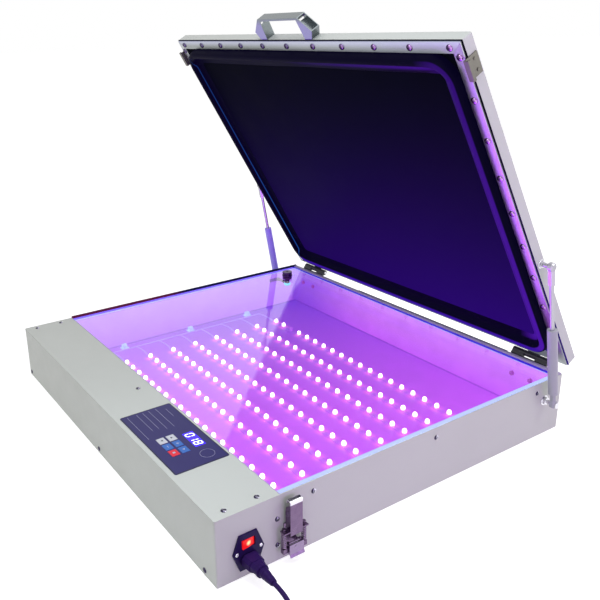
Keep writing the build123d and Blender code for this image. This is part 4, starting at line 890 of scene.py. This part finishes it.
def cord_points():
    """The lead's way down to the surface, through the coil and out to the plug."""
    start = CORD_EXIT.x
    floor = CORD_RADIUS
    way_down = [
        (start, SOCKET_Z), (start + 21 * MM, SOCKET_Z), (start + 41 * MM, SOCKET_Z - 10 * MM),
        (start + 59.5 * MM, floor + 6 * MM), (COIL_ENTRY_X - 18 * MM, floor), (COIL_ENTRY_X, floor),
    ]
    points = [Vector((x, INLET_Y, z)) for x, z in way_down]
    steps = round(COIL_TURNS * COIL_POINTS_PER_TURN)
    points += [coil_point(COIL_TURNS * share) for share in shares(steps)]
    end = points[-1]
    tail = (2 * CORD_RADIUS, 2 * CORD_RADIUS + TAIL_LENGTH)
    return points + [end - Vector((run, 0, 0)) for run in tail]


def make_cord():
    curve = bpy.data.curves.new("mains_lead", "CURVE")
    curve.dimensions = "3D"
    curve.bevel_depth = CORD_RADIUS
    curve.bevel_resolution = 4
    curve.use_fill_caps = True
    spline = curve.splines.new("NURBS")
    points = cord_points()
    spline.points.add(len(points) - 1)
    for point, place in zip(spline.points, points):
        point.co = (*place, 1.0)
    spline.order_u = 3
    spline.use_endpoint_u = True
    spline.resolution_u = 6
    curve.materials.append(cord_rubber)
    lead = new_object("mains_lead", curve)
    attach(lead, "base")
    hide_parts("cord_lead", "cord_coil", "cord_tail")


make_cord()


# ---- lid ----

def rounded_rectangle(half_x, half_y, corner, steps=10):
    """Points round a rectangle with round corners, centred on the origin."""
    points = []
    for quarter, (side_x, side_y) in enumerate(((1, 1), (-1, 1), (-1, -1), (1, -1))):
        x, y = side_x * (half_x - corner), side_y * (half_y - corner)
        for share in shares(steps):
            angle = math.pi / 2 * (quarter + share)
            points.append((x + corner * math.cos(angle), y + corner * math.sin(angle)))
    return points


def make_bead():
    """The raised bead: a steep outer wall, a round crest and a long slope to the blanket."""
    profile = [
        (0.0, 0.0), (0.3, 6.0), (0.8, 12.0), (2.4, 15.5), (5.6, 17.0), (9.0, 17.5), (12.6, 17.2),
        (15.8, 15.8), (17.8, 13.0), (19.4, 9.4), (21.6, 5.6), (25.0, 3.4), (30.0, 1.4), (36.0, 0.0),
    ]
    root = RUBBER_Z - BLANKET_THICKNESS
    loops = []
    for inward, drop in profile:
        inset = inward * MM
        outer = RING_INSET + inset
        ring = rounded_rectangle(LID_X - outer, LID_HALF_Y - outer, RING_CORNER - inset)
        loops.append([(x, LID_MIDDLE_Y + y, root - drop * MM) for x, y in ring])
    mesh = loops_to_mesh(loops, True)
    mesh.transform(OPENED)
    piece("seal_bead", "lid", mesh, [bead_rubber], ["seal_ring"], 60)


def make_blanket():
    """The stretched rubber, with the slight waves of a sheet held only at its edge."""
    build = bmesh.new()
    bmesh.ops.create_grid(build, x_segments=56, y_segments=46, size=1)
    for vert in build.verts:
        u, v, _ = vert.co
        free = max(0.0, 1 - u**4) * max(0.0, 1 - v**4)
        wave = noise.noise(Vector((u * 2.1, v * 1.7, 0.4))) * BLANKET_WAVE * free
        z = RUBBER_Z - BLANKET_THICKNESS + min(wave, 0.0)
        vert.co = (u * LID_X, LID_MIDDLE_Y + v * LID_HALF_Y, z)
    mesh = thickened(build, BLANKET_THICKNESS)
    mesh.transform(OPENED)
    blanket = piece("blanket", "lid", mesh, [blanket_rubber], ["rubber_blanket"])


def cross_head(radius, height, dome, cross):
    """A domed screw head with a cross recess, standing on z = 0."""
    profile = [(radius, 0.0), (radius, height - dome)]
    for share in shares(5)[1:-1]:
        angle = math.pi / 2 * share
        profile.append((radius * math.cos(angle), height - dome + dome * math.sin(angle)))
    head = lathe([(0, 0.0), *profile, (0, height)], 24)
    thick = cross * 0.26
    floor = height * 0.45
    for x, y in ((cross, thick), (thick, cross)):
        head = carve(head, block((-x, -y, floor), (x, y, height + 1 * MM)))
    return head


def screws(name, body, head, places, finish, stands_for):
    """Copies of a head at places, each turned by its own amount about its axis."""
    parts = [
        (head, place @ turned(37 * number % 90, "Z"), 0) for number, place in enumerate(places)
    ]
    piece(name, body, joined(parts), [finish], stands_for, 40)


def lid_screw_places():
    """Places of the clamp strips' screws, pointing down from the shut lid."""
    front_screws, front_pitch = 11, 79.8 * MM
    side_screws, side_pitch, first_side = 10, 73.5 * MM, 12.0 * MM
    seat = RUBBER_Z - BLANKET_THICKNESS - STRIP_THICKNESS
    points = []
    for index in range(front_screws):
        x = (index - (front_screws - 1) / 2) * front_pitch
        points += [(x, LID_FRONT_Y + SCREW_INSET), (x, LID_BACK_Y - SCREW_INSET)]
    for index in range(1, side_screws):
        y = LID_BACK_Y - first_side - index * side_pitch
        points += [(side * (LID_X - SCREW_INSET), y) for side in (-1, 1)]
    return [OPENED @ at(x, y, seat) @ turned(180, "X") for x, y in points]


make_bead()
make_blanket()
screws(
    "strip_screws", "lid",
    cross_head(5.7 * MM, 3.3 * MM, 2.4 * MM, 2.9 * MM),
    lid_screw_places(), screw_metal, ["clamp_screws"],
)


# ---- case screws ----

def case_screw_places():
    """Places of the cover's, the front's, the back's and the sides' screws."""
    cover = [(x, y) for x in (-410, 410) for y in (24.5, 80)] + [(0, 85)]
    places = [at(x * MM, FRONT_Y + y * MM, BASE_TOP) for x, y in cover]
    places += [at(x * MM, FRONT_Y, 9 * MM) @ turned(90, "X") for x in (-411, -7, 391)]
    places += [at(x * MM, BACK_Y, 9 * MM) @ turned(-90, "X") for x in (-411, 0, 411)]
    for y, z in ((-213, 94), (46, 94), (312, 94), (-279.5, 72.7), (-279.5, 27.5)):
        for side in (-1, 1):
            places.append(at(side * SIDE_X, y * MM, z * MM) @ turned(side * 90, "Y"))
    return places


def inlet_screw_places():
    x = SIDE_X + 3 * MM
    return [at(x, FRONT_Y + y * MM, 44.5 * MM) @ turned(90, "Y") for y in (33.0, 73.6)]


screws(
    "body_screws", "base",
    cross_head(4.4 * MM, 2.0 * MM, 1.4 * MM, 2.4 * MM),
    case_screw_places(), dark_screw_metal, ["case_screws"],
)
screws(
    "flange_screws", "base",
    cross_head(3.0 * MM, 1.6 * MM, 1.0 * MM, 1.7 * MM),
    inlet_screw_places(), bright_metal, ["inlet_screws"],
)


# ---- lamps and wires ----

def make_lamps():
    """Eight strips: board, packages, domes and a solder joint at the wired end that glows with
    painted lamp light.
    """
    board_top = CHAMBER_FLOOR_Z + 1.6 * MM
    strip_end = STRIP_START_X + LAMPS_PER_ROW * LAMP_PITCH
    half = 5 * MM
    board = block((STRIP_START_X, -half, CHAMBER_FLOOR_Z), (strip_end, half, board_top), 0.2 * MM)
    package = block((-2.8 * MM, -2.8 * MM, 0), (2.8 * MM, 2.8 * MM, 1.5 * MM), 0.3 * MM)
    profile = [(0, 0), (4.3, 0), (4.5, 2.0), (4.5, 5.0), (4.0, 7.2), (2.8, 8.9), (0, 9.6)]
    dome = lathe([(radius * MM, height * MM) for radius, height in profile], 16)
    joint = lathe([(0, 0), (2.0 * MM, 0), (1.8 * MM, 1.0 * MM), (0, 1.6 * MM)], 12)
    parts = []
    for row in range(LAMP_ROWS):
        y = FIRST_ROW_Y + row * ROW_PITCH
        parts.append((board, at(0, y, 0), 0))
        parts.append((joint, at(FIRST_LAMP_X - 11 * MM, y, board_top), 1))
        for lamp in range(LAMPS_PER_ROW):
            place = at(FIRST_LAMP_X + lamp * LAMP_PITCH, y, board_top)
            unlit = row == UNLIT_ROW and lamp == UNLIT_LAMP
            parts.append((package, place, 0))
            parts.append((dome, place @ at(0, 0, 0.6 * MM), 2 if unlit else 1))
    finishes = [board_glow, lens_glow, unlit_lens]
    piece("lamp_strips", "base", joined(parts), finishes, ["led_bars"], 50)


def make_wires():
    """The feed along the left wall and a loose pair to each strip."""
    radius = 0.9 * MM
    left = -383 * MM
    low = CHAMBER_FLOOR_Z + radius
    feed_start = COVER_BACK_Y + 20 * MM
    feed_end = FIRST_ROW_Y + (LAMP_ROWS - 1) * ROW_PITCH
    paths = []
    for offset in (0.0, 2.0 * MM):
        path = []
        for part in shares(60):
            wander = noise.noise(Vector((part * 7, offset * 900, 2.0))) * 1.2 * MM
            y = feed_start + part * (feed_end - feed_start)
            path.append((left + offset + wander, y, low))
        paths.append(path)
    for row in range(LAMP_ROWS):
        y = FIRST_ROW_Y + row * ROW_PITCH
        for offset in (-1.6 * MM, 1.6 * MM):
            path = []
            for part in shares(12):
                x = left + part * (STRIP_START_X + 3 * MM - left)
                bow = math.sin(math.pi * part) * (5 + 2 * (row % 3)) * MM
                path.append((x, y + offset * part + bow * 0.5, low + 0.8 * MM * part))
            paths.append(path)
    mesh = joined([(tube(path, radius, 6), HERE, 0) for path in paths])
    piece("feed_wires", "base", mesh, [wire_plastic], ["led_wiring"], 60)


make_lamps()
make_wires()


# ---- glass edge, port and trims ----

def make_edge_seal():
    """The black sealant at the glass's left, a lilac strip and a thin dark strip at its back, and a
    thin film at its front; the lilac of the strip and the film is painted lamp light.
    """
    low = BASE_TOP - 3 * MM
    inner = SIDE_X - 1.5 * MM
    back = BACK_Y - 1.5 * MM
    beside = -inner + 4 * MM
    film_low = (-inner, COVER_BACK_Y - 0.4 * MM, BASE_TOP + 0.01 * MM)
    film_high = (inner, COVER_BACK_Y + 1.3 * MM, BASE_TOP + 0.13 * MM)
    strips = [
        (film_low, film_high, 0.0, 1),
        ((-inner, COVER_BACK_Y, low), (beside, back, BASE_TOP + 4.4 * MM), 0.5 * MM, 0),
        ((beside, back - 8 * MM, low), (inner, back, BASE_TOP + 2.6 * MM), 0.3 * MM, 1),
        ((-155 * MM, back - 1.4 * MM, low), (300 * MM, back, BASE_TOP + 3.8 * MM), 0.4 * MM, 0),
    ]
    parts = [(block(start, end, bevel), HERE, number) for start, end, bevel, number in strips]
    piece("edge_seal", "base", joined(parts), [seal_rubber, lamplit_trim])


def make_port_collar():
    """The release collar at the port's lower end, under the glass."""
    low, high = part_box("vacuum_port")
    profile = [(6.0, 0), (8.4, 0), (8.6, 0.6), (8.6, 4.4), (8.0, 5.0), (6.0, 5.0), (6.0, 0)]
    ring = lathe([(radius * MM, height * MM) for radius, height in profile], 28)
    ring.transform(at(high.x - 13.5 * MM, (low.y + high.y) / 2, 81.5 * MM))
    piece("port_collar", "base", ring, [collar_plastic])


make_edge_seal()
make_port_collar()


# ---- control panel ----

def digit_outlines(figure, x, y, width, height):
    """The lit bars of one seven-bar figure, as outlines in X and Y, slanted a little."""
    lit = {"0": "abcdef", "1": "bc", "8": "abcdefg"}[figure]
    thick = width * 0.25
    half = height / 2
    near, far = thick * 0.1, thick * 0.6
    slant = 0.14
    level = {"a": height, "g": half, "d": 0.0}
    upright = {"f": (0, half), "b": (width, half), "e": (0, 0), "c": (width, 0)}
    outlines = []
    for bar in lit:
        length = width if bar in level else half
        shape = [
            (near, 0), (far, thick / 2), (length - far, thick / 2),
            (length - near, 0), (length - far, -thick / 2), (far, -thick / 2),
        ]
        if bar in level:
            outline = [(along, level[bar] + aside) for along, aside in shape]
        else:
            column, foot = upright[bar]
            outline = [(column + aside, foot + along) for along, aside in shape]
        outlines.append([(x + px + py * slant, y + py) for px, py in outline])
    return outlines


def make_display():
    """Three lit figures on the blue window."""
    low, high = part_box("display_module")
    height = 13.6 * MM
    width = 8.6 * MM
    y = (low.y + high.y - height) / 2
    parts = []
    for figure, offset in (("0", 4.5), ("1", 18.0), ("8", 33.0)):
        for outline in digit_outlines(figure, low.x + offset * MM, y, width, height):
            parts.append((prism(outline, high.z, 0.08 * MM), HERE, 0))
    piece("display_figures", "base", joined(parts), [lit_digit])


def make_panel_lines():
    """A dark border round the film, and plain rules and a ring on it."""
    top = PANEL_HIGH.z
    thick = 0.06 * MM
    edge = 1.8 * MM
    inset = 2.2 * MM
    x0, x1 = PANEL_LOW.x, PANEL_HIGH.x
    y0, y1 = PANEL_LOW.y, PANEL_HIGH.y
    lines = [
        (x0 + inset, y0, x1 - inset, y0 + edge, 0),
        (x0 + inset, y1 - edge, x1 - inset, y1, 0),
        (x0, y0 + inset, x0 + edge, y1 - inset, 0),
        (x1 - edge, y0 + inset, x1, y1 - inset, 0),
    ]
    rules = (
        (0.12, 6, 92), (0.30, 6, 70), (0.42, 6, 70), (0.54, 6, 78), (0.68, 6, 78), (0.84, 16, 46),
    )
    for share, start, end in rules:
        y = y0 + share * (y1 - y0)
        lines.append((x0 + start * MM, y, x0 + end * MM, y + 0.5 * MM, 1))
    parts = [
        (block((ax, ay, top), (bx, by, top + thick)), HERE, number)
        for ax, ay, bx, by, number in lines
    ]
    ring = [(11.8, 0.0), (12.3, 0.0), (12.3, 0.06), (11.8, 0.06), (11.8, 0.0)]
    ring = lathe([(radius * MM, height * MM) for radius, height in ring])
    parts.append((ring, at(*PANEL_RING, top), 1))
    piece("panel_lines", "base", joined(parts), [border_ink, pale_ink])


def key_signs():
    """A plain sign for each key, as outlines about the key's centre, in millimetres."""
    bar = [(-3, -0.5), (3, -0.5), (3, 0.5), (-3, 0.5)]
    stem = [(-0.5, 0.5), (0.5, 0.5), (0.5, 3), (-0.5, 3)]
    foot = [(-0.5, -3), (0.5, -3), (0.5, -0.5), (-0.5, -0.5)]
    return {
        "key_1": ([[(-2.6, 1.8), (0, -2.2), (2.6, 1.8)]], dark_ink),
        "key_2": ([[(-2.6, -1.8), (2.6, -1.8), (0, 2.2)]], dark_ink),
        "key_3": ([bar], pale_ink),
        "key_4": ([bar, stem, foot], pale_ink),
        "key_5": ([[(-2.2, -2.2), (2.2, -2.2), (2.2, 2.2), (-2.2, 2.2)]], pale_ink),
        "key_6": ([[(-1.8, -2.4), (2.6, 0), (-1.8, 2.4)]], pale_ink),
    }


def make_key_signs():
    for name, (outlines, ink) in key_signs().items():
        low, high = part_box(name)
        x, y, _ = (low + high) / 2
        parts = []
        for outline in outlines:
            placed = [(x + px * MM, y + py * MM) for px, py in outline]
            parts.append((prism(placed, high.z, 0.06 * MM), HERE, 0))
        piece(name + "_sign", name, joined(parts), [ink])


make_display()
make_panel_lines()
make_key_signs()


# ---- connector and plug ----

def make_relief_ribs():
    """The ribs of the connector's strain relief."""
    parts = []
    for share in shares(5):
        radius = 7.5 - 2.3 * share
        profile = [(-0.6, -1.2), (0.55, -0.8), (0.45, 0.8), (-0.7, 1.2), (-0.6, -1.2)]
        ring = lathe([((radius + out) * MM, height * MM) for out, height in profile], 24)
        x = CORD_EXIT.x + (22 * share - 25) * MM
        parts.append((ring, at(x, INLET_Y, SOCKET_Z) @ turned(90, "Y"), 0))
    piece("relief_ribs", "base", joined(parts), [cord_rubber])


def make_plug_pins():
    """Bright metal over the plug's three pins."""
    end = coil_point(COIL_TURNS)
    skin = 0.05 * MM
    face = end.x - 2 * CORD_RADIUS - TAIL_LENGTH - 46 * MM
    parts = []
    for side in (-1, 1):
        y = end.y + side * 6.35 * MM
        half = 0.8 * MM + skin
        tip = (face - 17 * MM - skin, y - half, end.z + 1 * MM - skin)
        root = (face, y + half, end.z + 7.3 * MM + skin)
        parts.append((block(tip, root, 0.3 * MM), HERE, 0))
    radius = 2.4 * MM + skin
    profile = [(0, 0), (radius, 0), (radius, 18.5 * MM), (radius * 0.7, 20 * MM), (0, 20.1 * MM)]
    place = at(face, end.y, end.z - 5.5 * MM) @ turned(-90, "Y")
    parts.append((lathe(profile, 20), place, 0))
    piece("plug_pins", "base", joined(parts), [brass_metal])


make_relief_ribs()
make_plug_pins()


# ---- latch springs ----

def make_springs():
    """A close-wound round wire round each rod of a claw."""
    turns = 9
    steps = 20
    closed_turns = 0.8
    wire = 0.8 * MM
    radius = 3.35 * MM
    low_z, high_z = 27.2 * MM, 54.0 * MM
    path = []
    for step in range(turns * steps + 1):
        turn = step / steps
        inside = min(max((turn - closed_turns) / (turns - 2 * closed_turns), 0.0), 1.0)
        ends = (min(turn, closed_turns) + max(turn - turns + closed_turns, 0.0)) / closed_turns
        z = low_z + wire + inside * (high_z - low_z - 4.6 * wire) + ends * 1.3 * wire
        angle = 2 * math.pi * turn
        path.append((radius * math.cos(angle), radius * math.sin(angle), z))
    spring = tube(path, wire, 8)
    for side, name in ((1, "right"), (-1, "left")):
        ys = (LATCH_Y - SPRING_OFFSET, LATCH_Y + SPRING_OFFSET)
        parts = [(spring, at(side * SPRING_X, y, 0), 0) for y in ys]
        piece(
            "coils_" + name, "latch_claw_" + name, joined(parts), [spring_metal],
            ["latch_springs_" + name], 60,
        )


make_springs()
